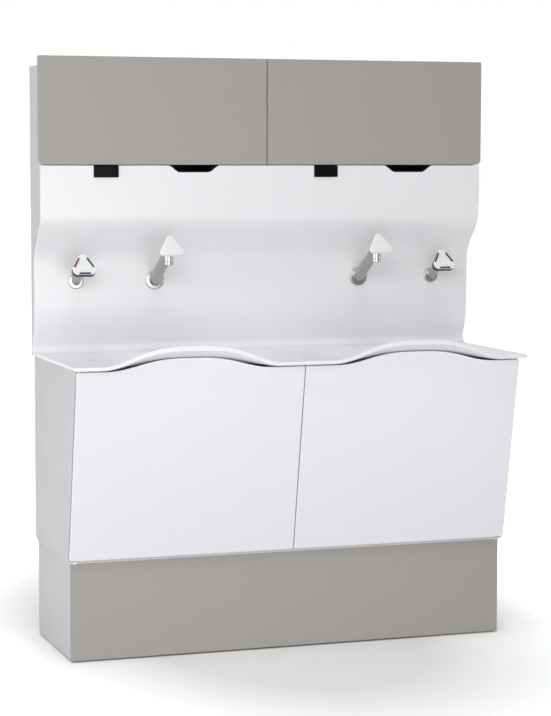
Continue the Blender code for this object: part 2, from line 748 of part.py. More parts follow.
def upper_pivot_end():
    """Length up the pivot axis at which the upper pin ends inside the deck."""
    foot = PANEL_BOTTOM + PANEL_THICKNESS / 2 * math.sin(PANEL_LEAN)
    return (DECK_UNDERSIDE + PIVOT_DECK_DEPTH - foot) / math.cos(PANEL_LEAN)


def make_upper_pivot(side, sign):
    """Pin between the deck's underside and the panel's upper bore."""
    low = panel_height(PIVOT_X) - PIVOT_PIN_LENGTH
    name = f"panel_pivot_upper_{side}"
    return pivot_pin(name, sign, low, upper_pivot_end(), PIVOT_PIN_RADIUS)


def make_drain_grid(side, sign):
    top = DRAIN_FLANGE_THICKNESS + CLEARANCE
    bottom = top - DRAIN_NECK_LENGTH
    inner = DRAIN_NECK_RADIUS - DRAIN_WALL
    profile = [
        (0, top),
        (DRAIN_FLANGE_RADIUS - DRAIN_FLANGE_SLOPE, top),
        (DRAIN_FLANGE_RADIUS, CLEARANCE),
        (DRAIN_NECK_RADIUS, CLEARANCE),
        (DRAIN_NECK_RADIUS, bottom),
        (inner, bottom),
        (inner, CLEARANCE),
        (0, CLEARANCE),
    ]
    grid = turned(f"drain_grid_{side}", profile, STEEL)
    place(grid, at(sign * STATION_X, BOWL_FROM_WALL, BOWL_FLOOR))
    for i in range(DRAIN_HOLES):
        angle = math.tau * i / DRAIN_HOLES
        hole = rod(f"drain_hole_{side}_{i}", DRAIN_HOLE_RADIUS, -top, 2 * top, STEEL, HOLE_STEPS)
        offset = Vector((math.cos(angle), math.sin(angle), 0)) * DRAIN_HOLE_CIRCLE
        cut(grid, place(hole, grid.location + offset))
    return grid


def trap_inlet_height():
    return BOWL_FLOOR + DRAIN_FLANGE_THICKNESS - DRAIN_NECK_LENGTH


def trap_outlet_height():
    return trap_inlet_height() - TRAP_DROP + TRAP_BEND + TRAP_RISE


def make_drain_trap(side, sign):
    """A P-trap: down from the drain, round the water seal, up and back to the wall."""
    low = trap_inlet_height() - TRAP_DROP
    outlet = trap_outlet_height()
    crown = BOWL_FROM_WALL - 2 * TRAP_BEND
    path = [(BOWL_FROM_WALL, trap_inlet_height())]
    path += arc((BOWL_FROM_WALL - TRAP_BEND, low), TRAP_BEND, 0, -180, 2 * TRAP_STEPS)
    path += arc((crown - TRAP_BEND, outlet - TRAP_BEND), TRAP_BEND, 0, 90, TRAP_STEPS)
    path.append((0.0, outlet))
    points = [at(sign * STATION_X, from_wall, z) for from_wall, z in path]
    return pipe(f"drain_trap_{side}", points, TRAP_RADIUS, GREY_PIPE)


def basin_sheet():
    """The moulded sheet: a grid bent to the basin's heights, with thickness and marked rims."""
    model = bmesh.new()
    bmesh.ops.create_grid(model, x_segments=BASIN_STEPS_X, y_segments=BASIN_STEPS_Y, size=1.0)
    for vertex in model.verts:
        x = vertex.co.x * DECK_WIDTH / 2
        from_wall = DECK_BACK + (DEPTH - DECK_BACK) * (1 - vertex.co.y) / 2
        vertex.co = at(x, from_wall, basin_height(x, from_wall))
    ends = [v for v in model.verts if v.is_boundary and len(v.link_edges) == 2 and v.co.y < 0]
    bmesh.ops.bevel(
        model, geom=ends, offset=LIP_CORNER_RADIUS, segments=CORNER_STEPS, profile=0.5, affect="VERTICES"
    )
    extruded = bmesh.ops.extrude_face_region(model, geom=list(model.faces))["geom"]
    lowered = {item for item in extruded if isinstance(item, bmesh.types.BMVert)}
    bmesh.ops.translate(model, verts=list(lowered), vec=(0, 0, -DECK_THICKNESS))
    weight = model.edges.layers.float.new("bevel_weight_edge")
    for face in model.faces:
        low_count = len(lowered.intersection(face.verts))
        if 0 < low_count < len(face.verts):
            for edge in face.edges:
                level = len(lowered.intersection(edge.verts)) != 1
                edge[weight] = 1.0 if level else 0.0
    bmesh.ops.recalc_face_normals(model, faces=model.faces)
    mesh = bpy.data.meshes.new("basin")
    model.to_mesh(mesh)
    model.free()
    return mesh


def make_basin():
    """One moulded piece with rounded rims, a bore for each drain and a seat for each pivot."""
    basin = as_part("basin", basin_sheet(), WHITE_SURFACE, smooth=True)
    bevel(basin, LIP_EDGE_RADIUS, "WEIGHT")
    for side, sign in SIDES.items():
        radius = DRAIN_NECK_RADIUS + DRAIN_PLAY
        hole = rod(f"drain_bore_{side}", radius, -CUT_THROUGH, CUT_THROUGH, WHITE_SURFACE)
        place(hole, at(sign * STATION_X, BOWL_FROM_WALL, BOWL_FLOOR))
        low = panel_height(PIVOT_X) - PIVOT_PIN_LENGTH
        high = upper_pivot_end() + CLEARANCE
        seat = pivot_pin(f"pivot_seat_{side}", sign, low, high, PIVOT_PIN_RADIUS + CLEARANCE)
        cut(basin, hole, seat)
    return basin


def station_places(aside):
    """Side positions of a dispenser in both stations, which repeat along the panel."""
    first = aside - STATION_X
    return {"left": first, "right": first + STATION_PITCH + DISPENSER_SPREAD}


def soap_notch(x, play):
    """Left, right and bottom of the square notch, with a play inside it."""
    half = SOAP_NOTCH_WIDTH / 2 - play
    return x - half, x + half, SPLASH_TOP - SOAP_NOTCH_DEPTH + play


def flared_flank(low_half, high_half, bottom, top, stop=1.0):
    """Points up the right flank of a slot, which leaves the bottom and meets the top softly."""
    shares = [stop * i / FLANK_STEPS for i in range(FLANK_STEPS + 1)]
    across, rise = high_half - low_half, top - bottom
    return [(low_half + across * t, bottom + rise * smooth_step(t)) for t in shares]


def both_flanks(flank):
    """A closed outline from a right flank and its mirror image."""
    return flank + [(-x, z) for x, z in reversed(flank)]


def make_splash_panel():
    line = splash_line()
    cove = arc((SPLASH_FOOT + SPLASH_COVE, SPLASH_COVE_TOP), SPLASH_COVE, 270, 180)
    cove = [(from_wall, max(z, SPLASH_BOTTOM + SPLASH_COVE_EDGE)) for from_wall, z in cove]
    back = [(from_wall - SPLASH_THICKNESS, z) for from_wall, z in reversed(line)]
    foot_back = (SPLASH_FOOT - SPLASH_THICKNESS, SPLASH_BOTTOM)
    foot_front = (SPLASH_FOOT + SPLASH_COVE, SPLASH_BOTTOM)
    outline = cove[:-1] + line + back + [foot_back, foot_front]
    panel = side_profile("splash_panel", outline, SPLASH_WIDTH, 0, WHITE_SURFACE)
    cut_notches(panel)
    cut_tap_holes(panel)
    return panel


def cut_notches(panel):
    """A square notch for soap and a flared one for brushes in the top edge, per station."""
    middle = DOOR_FRONT - SPLASH_THICKNESS / 2
    thickness = 2 * SPLASH_THICKNESS
    wall_range = (middle - thickness / 2, middle + thickness / 2)
    for side, x in station_places(SOAP_ASIDE).items():
        low, high, bottom = soap_notch(x, 0.0)
        z_range = (bottom, SPLASH_TOP + SPLASH_THICKNESS)
        cut(panel, block(f"soap_notch_{side}", (low, high), wall_range, z_range, WHITE_SURFACE))
    flank = flared_flank(BRUSH_NOTCH_BOTTOM / 2, BRUSH_NOTCH_TOP / 2, -BRUSH_NOTCH_DEPTH, 0.0)
    flank.append((BRUSH_NOTCH_TOP / 2, SPLASH_THICKNESS))
    for side, x in station_places(BRUSH_ASIDE).items():
        notch = plate(f"brush_notch_{side}", both_flanks(flank), thickness, WHITE_SURFACE)
        cut(panel, place(notch, at(x, middle, SPLASH_TOP), WALL_FACE_X_ROTATION))


def tap_point(x, along, aside=0.0):
    """A point along a tap's tilted axis from the splash panel's face, moved up its head's plane."""
    direction = Vector((0, -math.cos(TAP_TILT), math.sin(TAP_TILT)))
    upward = Vector((0, math.sin(TAP_TILT), math.cos(TAP_TILT)))
    return at(x, SPLASH_RECESS, TAP_HEIGHT) + direction * along + upward * aside


def cut_tap_holes(panel):
    taps = (("spout", STATION_X, SPOUT_ROOT_RADIUS), ("control", CONTROL_X, CONTROL_ROOT_RADIUS))
    for side, sign in SIDES.items():
        for kind, x, radius in taps:
            name = f"{kind}_hole_{side}"
            hole = rod(name, radius + PIN_PLAY, -CUT_THROUGH, CUT_THROUGH, WHITE_SURFACE)
            cut(panel, place(hole, tap_point(sign * x, 0), HEAD_FACE_X_ROTATION))


def make_housing_side(side, sign):
    """Upright side whose front edge follows the back of the splash panel."""
    inset = SPLASH_THICKNESS + CLEARANCE
    bottom = CABINET_TOP + CLEARANCE
    line = [(min(from_wall - inset, HOUSING_FRONT), z) for from_wall, z in splash_line()]
    outline = [(0, bottom), (SPLASH_FOOT - inset, bottom), *line]
    outline += [(HOUSING_FRONT, SPLASH_TOP + CLEARANCE), (HOUSING_FRONT, HOUSING_TOP)]
    outline.append((0, HOUSING_TOP))
    x = sign * (HOUSING_WIDTH - HOUSING_SIDE_THICKNESS) / 2
    return side_profile(f"housing_side_{side}", outline, HOUSING_SIDE_THICKNESS, x, LIGHT_GREY)


def make_housing_back():
    half = HOUSING_INNER_X - CLEARANCE
    z_range = (CABINET_TOP + CLEARANCE, HOUSING_TOP - HOUSING_BOARD - CLEARANCE)
    return block("housing_back", (-half, half), (0, HOUSING_BACK_THICKNESS), z_range, LIGHT_GREY)


def make_housing_top():
    half = HOUSING_INNER_X - CLEARANCE
    z_range = (HOUSING_TOP - HOUSING_BOARD, HOUSING_TOP)
    return block("housing_top", (-half, half), (0, HOUSING_FRONT), z_range, LIGHT_GREY)


def make_dispenser_shelf():
    half = HOUSING_INNER_X - CLEARANCE
    front = DOOR_FRONT - SPLASH_THICKNESS - CLEARANCE
    wall_range = (HOUSING_BACK_THICKNESS + CLEARANCE, front)
    z_range = (SHELF_TOP - SHELF_THICKNESS, SHELF_TOP)
    return block("dispenser_shelf", (-half, half), wall_range, z_range, PALE_EDGE)


def hinge_span():
    """Middle and half length of a door's hinge, as a side position on the right."""
    inner = DOOR_GAP / 2 + HINGE_INSET
    outer = HOUSING_INNER_X - HINGE_INSET
    return (inner + outer) / 2, (outer - inner) / 2


def knuckle_places(sign):
    """Middles of the door's knuckles and of the fixed ones that stand beside them."""
    middle, reach = hinge_span()
    pitch = HINGE_KNUCKLE + HINGE_KNUCKLE_GAP
    end = reach - HINGE_KNUCKLE / 2
    moving = [sign * (middle + offset) for offset in (pitch - end, 0.0, end - pitch)]
    fixed = [sign * (middle + offset) for offset in (-end, -pitch, pitch, end)]
    return moving, fixed


def along_x(name, radius, x, length, material):
    """A round bar on the doors' hinge axis, centred on a side position."""
    bar = rod(name, radius, -length / 2, length / 2, material, FINE_STEPS)
    turn = Matrix.Rotation(math.pi / 2, 4, "Y")
    bar.matrix_world = Matrix.Translation(at(x, DOOR_BACK, HINGE_Z)) @ turn
    return bar


def door_outline(sign, inset):
    """Outline of a door about its hinge axis, with a round lower outer corner."""
    low_x, high_x = DOOR_GAP / 2 + inset, DOORS_WIDTH / 2 - inset
    low_z, high_z = DOOR_BOTTOM + inset - HINGE_Z, DOOR_TOP - inset - HINGE_Z
    radius = DOOR_RADIUS - inset
    points = [(low_x, high_z), (low_x, low_z)]
    points += arc((high_x - radius, low_z + radius), radius, 270, 360)
    points.append((high_x, high_z))
    return [(sign * x, z) for x, z in points]


def make_door(side, sign):
    """A folded steel tray, open at the back, with three knuckles and its origin on the hinge."""
    solver = "MANIFOLD"
    axis = at(0, DOOR_BACK, HINGE_Z)
    half = DOOR_THICKNESS / 2
    door = plate(f"door_{side}", door_outline(sign, 0.0), DOOR_THICKNESS, WARM_GREY)
    door.data.transform(Matrix.Translation((0, 0, half)))
    hollow = plate(f"door_hollow_{side}", door_outline(sign, STEEL_SHEET), DOOR_THICKNESS, WARM_GREY)
    hollow.data.transform(Matrix.Translation((0, 0, half - STEEL_SHEET)))
    place(door, axis, WALL_FACE_X_ROTATION)
    cut(door, place(hollow, axis, WALL_FACE_X_ROTATION), solver=solver)
    moving, _ = knuckle_places(sign)
    for i, x in enumerate(moving):
        x_range = (x - HINGE_KNUCKLE / 2, x + HINGE_KNUCKLE / 2)
        wall_range = (DOOR_BACK + HINGE_ROD_RADIUS, DOOR_FRONT - STEEL_SHEET / 2)
        z_range = (HINGE_Z - HINGE_ARM_HEIGHT / 2, HINGE_Z + HINGE_ARM_HEIGHT / 2)
        arm = block(f"door_arm_{side}_{i}", x_range, wall_range, z_range, WARM_GREY)
        length = HINGE_KNUCKLE - 2 * HINGE_ARM_INSET
        barrel = along_x(f"door_barrel_{side}_{i}", HINGE_BARREL_RADIUS, x, length, WARM_GREY)
        join(door, arm, barrel, solver=solver)
    middle, reach = hinge_span()
    radius = HINGE_ROD_RADIUS + PIN_PLAY
    bore = along_x(f"door_bore_{side}", radius, sign * middle, 2 * reach, WARM_GREY)
    return cut(door, bore, solver=solver)


def make_door_hinge(side, sign):
    """Fixed leaf on the housing top, with four knuckles that hold the hinge rod."""
    middle, reach = hinge_span()
    x_range = (sign * middle - reach, sign * middle + reach)
    bottom = HOUSING_TOP + CLEARANCE
    leaf_front = DOOR_BACK - HINGE_LEAF_SETBACK
    leaf_range = (leaf_front - HINGE_LEAF_LENGTH, leaf_front)
    leaf_z = (bottom, bottom + HINGE_LEAF_THICKNESS)
    hinge = block(f"door_hinge_{side}", x_range, leaf_range, leaf_z, STEEL)
    _, fixed = knuckle_places(sign)
    half = HINGE_KNUCKLE / 2 - HINGE_ARM_INSET
    for i, x in enumerate(fixed):
        z_range = (bottom, HINGE_Z + HINGE_ROD_RADIUS / 2)
        wall_range = (leaf_front - HINGE_LEAF_SETBACK, DOOR_BACK + HINGE_ROD_RADIUS / 2)
        knuckle = block(f"hinge_knuckle_{side}_{i}", (x - half, x + half), wall_range, z_range, STEEL)
        join(hinge, knuckle)
    pin = along_x(f"hinge_rod_{side}", HINGE_ROD_RADIUS, sign * middle, 2 * reach, STEEL)
    return join(hinge, pin)


def make_soap_dispenser(side, x):
    """Pump body on the shelf, with an outlet that fills the square notch and a nozzle under it."""
    low, high, bottom = soap_notch(x, NOTCH_PLAY)
    front = HOUSING_FRONT - CLEARANCE
    base = SHELF_TOP + CLEARANCE
    wall_range = (front - SOAP_BODY_DEPTH, front)
    z_range = (base, base + SOAP_BODY_HEIGHT)
    body = block(f"soap_dispenser_{side}", (low, high), wall_range, z_range, BLACK_PLASTIC)
    snout_front = DOOR_FRONT + SOAP_SNOUT_OUT
    snout_x = (low + NOTCH_PLAY, high - NOTCH_PLAY)
    snout_z = (bottom, SPLASH_TOP - NOTCH_PLAY)
    snout_range = (front - SOAP_SNOUT_ROOT, snout_front)
    join(body, block(f"soap_snout_{side}", snout_x, snout_range, snout_z, BLACK_PLASTIC))
    depth = SOAP_NOZZLE_DEPTH
    nozzle = rod(f"soap_nozzle_{side}", SOAP_NOZZLE_RADIUS, -depth, depth, BLACK_PLASTIC, HOLE_STEPS)
    return cut(body, place(nozzle, at(x, snout_front - SOAP_NOZZLE_INSET, bottom)))


def make_soap_bottle(side, x):
    """Bottle that stands neck down on the pump."""
    profile = [
        (0, BOTTLE_HEIGHT),
        (BOTTLE_RADIUS - BOTTLE_BASE_BEVEL, BOTTLE_HEIGHT),
        (BOTTLE_RADIUS, BOTTLE_HEIGHT - BOTTLE_BASE_BEVEL),
        (BOTTLE_RADIUS, BOTTLE_NECK_LENGTH + BOTTLE_SHOULDER),
        (BOTTLE_NECK_RADIUS, BOTTLE_NECK_LENGTH),
        (BOTTLE_NECK_RADIUS, 0),
        (0, 0),
    ]
    bottle = turned(f"soap_bottle_{side}", profile, BOTTLE_PLASTIC)
    middle = HOUSING_FRONT - CLEARANCE - SOAP_BODY_DEPTH / 2
    return place(bottle, at(x, middle, SHELF_TOP + SOAP_BODY_HEIGHT + 2 * CLEARANCE))


def make_brush_dispenser(side, x):
    """Upright chute, open at the top, with a flared mouth in the panel's notch."""
    half = BRUSH_NOTCH_TOP / 2
    wall = BRUSH_WALL
    front = HOUSING_FRONT - CLEARANCE
    back = front - BRUSH_BODY_DEPTH
    base = SHELF_TOP + CLEARANCE
    top = base + BRUSH_BODY_HEIGHT
    name = f"brush_dispenser_{side}"
    body = block(name, (x - half, x + half), (back, front), (base, top), BLACK_PLASTIC)
    low = BRUSH_NOTCH_BOTTOM / 2
    bottom = NOTCH_PLAY - BRUSH_NOTCH_DEPTH
    flank = flared_flank(low, half, bottom, NOTCH_PLAY, BRUSH_FLARE_SHARE)
    mouth = plate(f"brush_mouth_{side}", both_flanks(flank), BRUSH_MOUTH_DEPTH, BLACK_PLASTIC)
    middle = DOOR_FRONT - BRUSH_MOUTH_SETBACK - BRUSH_MOUTH_DEPTH / 2
    join(body, place(mouth, at(x, middle, SPLASH_TOP), WALL_FACE_X_ROTATION))
    chute_x = (x - half + wall, x + half - wall)
    chute_z = (SPLASH_TOP - BRUSH_NOTCH_DEPTH + BRUSH_LIP, top + CUT_THROUGH)
    chute_range = (back + wall, front - wall)
    chute = block(f"brush_chute_{side}", chute_x, chute_range, chute_z, BLACK_PLASTIC)
    ceiling = flank[-1][1] - wall
    slot_flank = flared_flank(low - wall, half - BRUSH_SLOT_SHOULDER, bottom + BRUSH_LIP, ceiling)
    slot = plate(f"brush_slot_{side}", both_flanks(slot_flank), CUT_THROUGH, BLACK_PLASTIC)
    return cut(body, chute, place(slot, at(x, DOOR_FRONT, SPLASH_TOP), WALL_FACE_X_ROTATION))


def flange(name, radius):
    """A domed wall flange about its own Z, which points away from the wall."""
    centre = (radius - FLANGE_ROUND, FLANGE_THICKNESS - FLANGE_ROUND)
    profile = [(0, FLANGE_THICKNESS)]
    profile += arc(centre, FLANGE_ROUND, 90, 0)
    profile += [(radius, CLEARANCE), (0, CLEARANCE)]
    return turned(name, profile, SATIN_CHROME)


def make_spout_flange(side, sign):
    root = tap_point(sign * STATION_X, 0)
    ring = place(flange(f"spout_flange_{side}", SPOUT_FLANGE_RADIUS), root, WALL_FACE_X_ROTATION)
    radius = SPOUT_ROOT_RADIUS + CLEARANCE
    hole = rod(f"flange_hole_{side}", radius, -CUT_THROUGH, CUT_THROUGH, SATIN_CHROME)
    return cut(ring, place(hole, root, HEAD_FACE_X_ROTATION))


def aerator_place(sign):
    """Middle of the outlet's top face, inside the tube and clear of the head in front of it."""
    front = AERATOR_RADIUS * math.cos(TAP_TILT) - AERATOR_SEAT * math.sin(TAP_TILT)
    along = SPOUT_REACH - AERATOR_SETBACK - front - CLEARANCE
    return tap_point(sign * STATION_X, along) - Vector((0, 0, AERATOR_SEAT))


def make_spout_tube(side, sign):
    profile = [
        (0, SPOUT_REACH),
        (SPOUT_END_RADIUS, SPOUT_REACH),
        (SPOUT_ROOT_RADIUS, SPOUT_ROOT_LENGTH),
        (SPOUT_ROOT_RADIUS, -SPOUT_TAIL),
        (0, -SPOUT_TAIL),
    ]
    tube = turned(f"spout_tube_{side}", profile, SATIN_CHROME)
    place(tube, tap_point(sign * STATION_X, 0), HEAD_FACE_X_ROTATION)
    radius = AERATOR_RADIUS + CLEARANCE
    seat = rod(f"aerator_seat_{side}", radius, -CUT_THROUGH, CLEARANCE, SATIN_CHROME)
    return cut(tube, place(seat, aerator_place(sign)))


def make_aerator(side, sign):
    profile = [
        (0, 0),
        (AERATOR_RADIUS, 0),
        (AERATOR_RADIUS, AERATOR_BEVEL - AERATOR_LENGTH),
        (AERATOR_RADIUS - AERATOR_BEVEL, -AERATOR_LENGTH),
        (0, -AERATOR_LENGTH),
    ]
    return place(turned(f"spout_aerator_{side}", profile, SATIN_CHROME), aerator_place(sign))


def rounded_triangle(side, radius):
    """An equilateral triangle with one corner up and its middle at the origin."""
    centre_radius = side / math.sqrt(3) - 2 * radius
    points = []
    for corner in (90, 210, 330):
        a = math.radians(corner)
        centre = (centre_radius * math.cos(a), centre_radius * math.sin(a))
        points += arc(centre, radius, corner - 60, corner + 60)
    return points


def make_head(name, outline, thickness, middle):
    """A triangular head square to the tap's axis."""
    head = bevel(plate(name, outline, thickness, WHITE_PLASTIC), HEAD_BEVEL)
    return place(head, middle, HEAD_FACE_X_ROTATION)


def make_spout_head(side, sign):
    outline = rounded_triangle(SPOUT_HEAD_SIDE, SPOUT_HEAD_CORNER)
    along = SPOUT_REACH + CLEARANCE + SPOUT_HEAD_THICKNESS / 2
    middle = tap_point(sign * STATION_X, along, -SPOUT_HEAD_DROP)
    return make_head(f"spout_head_{side}", outline, SPOUT_HEAD_THICKNESS, middle)


def make_control_stem(side, sign):
    """Short tapered stem through a wall flange, in one piece."""
    root = tap_point(sign * CONTROL_X, 0)
    profile = [
        (0, CONTROL_REACH),
        (CONTROL_END_RADIUS, CONTROL_REACH),
        (CONTROL_ROOT_RADIUS, 0),
        (CONTROL_ROOT_RADIUS, -CONTROL_TAIL),
        (0, -CONTROL_TAIL),
    ]
    stem = turned(f"control_stem_{side}", profile, SATIN_CHROME)
    place(stem, root, HEAD_FACE_X_ROTATION)
    ring = flange(f"control_flange_{side}", CONTROL_FLANGE_RADIUS)
    return join(stem, place(ring, root, WALL_FACE_X_ROTATION))


def bar_outline(length, width):
    """A bar with round ends along its own X."""
    end = (length - width) / 2
    right = arc((end, 0), width / 2, -90, 90)
    left = arc((-end, 0), width / 2, 90, 270)
    return right + left


def key_places():
    """Angle and middle of each key in the head's plane: left edge, right edge, bottom edge."""
    inner_radius = CONTROL_HEAD_SIDE / math.sqrt(12) - KEY_FROM_EDGE
    places = {}
    for key, direction in (("hot", 150), ("start", 30), ("cold", 270)):
        a = math.radians(direction)
        middle = (inner_radius * math.cos(a), inner_radius * math.sin(a))
        places[key] = (a - math.pi / 2, *middle)
    return places


def key_frame(key, sign, out):
    """Matrix of a key's place on its control's front face, moved out of that face."""
    along = CONTROL_REACH + CLEARANCE + CONTROL_HEAD_THICKNESS
    face = tap_point(sign * CONTROL_X, along, -CONTROL_HEAD_DROP)
    angle, x, y = key_places()[key]
    head = Matrix.Translation(face) @ Matrix.Rotation(HEAD_FACE_X_ROTATION, 4, "X")
    return head @ Matrix.Translation((x, y, out)) @ Matrix.Rotation(angle, 4, "Z")


def make_control_head(side, sign):
    """Triangular control with a pocket for each key."""
    head_outline = rounded_triangle(CONTROL_HEAD_SIDE, CONTROL_HEAD_CORNER)
    along = CONTROL_REACH + CLEARANCE + CONTROL_HEAD_THICKNESS / 2
    middle = tap_point(sign * CONTROL_X, along, -CONTROL_HEAD_DROP)
    head = make_head(f"control_head_{side}", head_outline, CONTROL_HEAD_THICKNESS, middle)
    depth = KEY_HEIGHT - KEY_PROUD + KEY_TRAVEL + PIN_PLAY
    outline = bar_outline(KEY_LENGTH + 2 * KEY_PLAY, KEY_WIDTH + 2 * KEY_PLAY)
    for key in key_places():
        pocket = plate(f"{key}_pocket_{side}", outline, 2 * depth, WHITE_PLASTIC)
        pocket.matrix_world = key_frame(key, sign, 0.0)
        cut(head, pocket)
    return head


def make_key(key, side, sign, material):
    outline = bar_outline(KEY_LENGTH, KEY_WIDTH)
    bar = plate(f"{key}_key_{side}", outline, KEY_HEIGHT, material)
    bar.matrix_world = key_frame(key, sign, KEY_PROUD - KEY_HEIGHT / 2)
    return bar


def make_mixing_valve(side, sign):
    """Valve body along the wall, with a boss to the spout's tail and a bracket on the back."""
    x = sign * STATION_X
    middle = tap_point(x, -SPOUT_TAIL - CLEARANCE - VALVE_BOSS_LENGTH)
    half = VALVE_LENGTH / 2
    valve = rod(f"mixing_valve_{side}", VALVE_RADIUS, -half, half, BRASS, FINE_STEPS)
    valve.matrix_world = Matrix.Translation(middle) @ Matrix.Rotation(math.pi / 2, 4, "Y")
    boss = rod(f"valve_boss_{side}", VALVE_BOSS_RADIUS, 0, VALVE_BOSS_LENGTH, BRASS, FINE_STEPS)
    place(boss, middle, HEAD_FACE_X_ROTATION)
    x_range = (x - VALVE_BRACKET_WIDTH / 2, x + VALVE_BRACKET_WIDTH / 2)
    z_range = (middle.z - VALVE_BRACKET_HEIGHT / 2, middle.z + VALVE_BRACKET_HEIGHT / 2)
    wall_range = (HOUSING_BACK_THICKNESS + CLEARANCE, BACK_Y - middle.y)
    return join(valve, boss, block(f"valve_bracket_{side}", x_range, wall_range, z_range, BRASS))


def make_control_box():
    """Electrical box of the keys and valves, on the housing back between the stations."""
    half = CONTROL_BOX_WIDTH / 2
    back = HOUSING_BACK_THICKNESS + CLEARANCE
    wall_range = (back, back + CONTROL_BOX_DEPTH)
    z_range = (TAP_HEIGHT - CONTROL_BOX_HEIGHT / 2, TAP_HEIGHT + CONTROL_BOX_HEIGHT / 2)
    box = block("control_box", (-half, half), wall_range, z_range, LIGHT_GREY)
    return bevel(box, CONTROL_BOX_EDGE)


def make_side_pieces(side, sign):
    """The cabinet, door and housing pieces that each side has once."""
    make_plinth_side(side, sign)
    make_cabinet_side(side, sign)
    make_front_panel(side, sign)
    make_lower_pivot(side, sign)
    make_upper_pivot(side, sign)
    make_housing_side(side, sign)
    make_door(side, sign)
    make_door_hinge(side, sign)


def make_station(side, sign, key_materials):
    """The water, soap and brush pieces of one station."""
    make_drain_grid(side, sign)
    make_drain_trap(side, sign)
    make_mixing_valve(side, sign)
    make_spout_flange(side, sign)
    make_spout_tube(side, sign)
    make_spout_head(side, sign)
    make_aerator(side, sign)
    make_control_stem(side, sign)
    make_control_head(side, sign)
    for key, material in key_materials.items():
        make_key(key, side, sign, material)
    soap_x = station_places(SOAP_ASIDE)[side]
    make_soap_dispenser(side, soap_x)
    make_soap_bottle(side, soap_x)
    make_brush_dispenser(side, station_places(BRUSH_ASIDE)[side])


def main():
    key_materials = {
        "left": {"hot": KEY_RED, "start": KEY_GREEN, "cold": KEY_BLUE},
        "right": {"hot": KEY_DARK, "start": KEY_DARK, "cold": KEY_DARK},
    }
    make_legs()
    make_plinth_front()
    make_cabinet_floor()
    make_cabinet_back()
    make_cabinet_post()
    make_basin()
    make_splash_panel()
    make_housing_back()
    make_housing_top()
    make_dispenser_shelf()
    make_control_box()
    for side, sign in SIDES.items():
        make_side_pieces(side, sign)
        make_station(side, sign, key_materials[side])


main()
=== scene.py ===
"""Looks of the two-station scrub sink: fine shapes, finishes, light and camera.

Laid out as an add-on with one operator for each piece or group of like pieces and one for the
stage. Units are metres. +X is to the right as seen from the front, +Y points to the wall, +Z is
up, and positions in depth are given as distances from the wall.
"""

import json
import math
from typing import NamedTuple

import bmesh
import bpy
from bpy.props import FloatProperty, FloatVectorProperty, IntProperty, PointerProperty
from bpy.types import Operator, Panel, PropertyGroup
from mathutils import Matrix, Vector


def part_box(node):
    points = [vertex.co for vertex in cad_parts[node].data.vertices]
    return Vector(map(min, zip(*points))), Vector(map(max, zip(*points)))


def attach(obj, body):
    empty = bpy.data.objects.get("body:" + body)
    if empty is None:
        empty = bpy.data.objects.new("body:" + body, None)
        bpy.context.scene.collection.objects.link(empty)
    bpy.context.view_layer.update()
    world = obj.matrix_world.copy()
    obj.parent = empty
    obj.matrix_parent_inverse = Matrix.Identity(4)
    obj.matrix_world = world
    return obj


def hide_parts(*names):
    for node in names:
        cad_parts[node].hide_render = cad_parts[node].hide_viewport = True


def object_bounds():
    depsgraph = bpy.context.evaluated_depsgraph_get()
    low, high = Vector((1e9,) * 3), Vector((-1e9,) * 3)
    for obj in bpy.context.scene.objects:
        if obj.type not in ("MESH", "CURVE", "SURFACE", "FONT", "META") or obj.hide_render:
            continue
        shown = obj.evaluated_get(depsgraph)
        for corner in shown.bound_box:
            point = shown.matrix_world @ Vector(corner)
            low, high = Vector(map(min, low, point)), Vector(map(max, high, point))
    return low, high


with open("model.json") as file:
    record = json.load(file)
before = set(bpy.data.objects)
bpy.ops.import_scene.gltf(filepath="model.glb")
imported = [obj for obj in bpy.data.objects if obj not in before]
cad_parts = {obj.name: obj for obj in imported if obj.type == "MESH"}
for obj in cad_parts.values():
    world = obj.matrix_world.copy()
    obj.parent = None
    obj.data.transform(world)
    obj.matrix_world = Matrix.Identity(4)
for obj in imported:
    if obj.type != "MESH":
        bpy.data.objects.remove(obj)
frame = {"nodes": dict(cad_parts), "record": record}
CAD_LOW, CAD_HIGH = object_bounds()

bl_info = {
    "name": "Scrub sink looks",
    "version": (1, 0, 0),
    "blender": (4, 5, 0),
    "location": "View3D > Sidebar > Scrub sink",
    "description": "Fine shapes, finishes, light and camera of a two-station scrub sink",
    "category": "Object",
}

SIDES = {"left": -1, "right": 1}
SLOT_OF = {part["node"]: part["material_slot"] for part in frame["record"]["subparts"]}
BASIN_LOW, BASIN_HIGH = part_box("basin")
SPLASH_LOW, SPLASH_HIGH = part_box("splash_panel")
DOOR_LOW, DOOR_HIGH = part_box("door_right")
PANEL_LOW, PANEL_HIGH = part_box("front_panel_right")
BACK_Y = CAD_HIGH.y
CLEARANCE = 0.0003
OVERCUT = 0.01
ROUND_STEPS = 56
CORNER_STEPS = 10
ARCH_STEPS = 72
QUARTER_TURN = math.pi / 2
SHARP_ANGLE = math.radians(38)


def maker(kind, **rule):
    """Makes properties of a kind that differ only in name, description and default."""

    def make(name, description, default):
        return kind(name=name, description=description, default=default, **rule)

    return make


length = maker(FloatProperty, min=0.0, precision=4, unit="LENGTH")
angle = maker(FloatProperty, subtype="ANGLE")
ratio = maker(FloatProperty, min=0.0)
power = maker(FloatProperty, min=0.0, unit="POWER")
focal = maker(FloatProperty, min=1.0, unit="CAMERA")
count = maker(IntProperty, min=3)
colour = maker(FloatVectorProperty, size=3, min=0.0, max=1.0, subtype="COLOR")


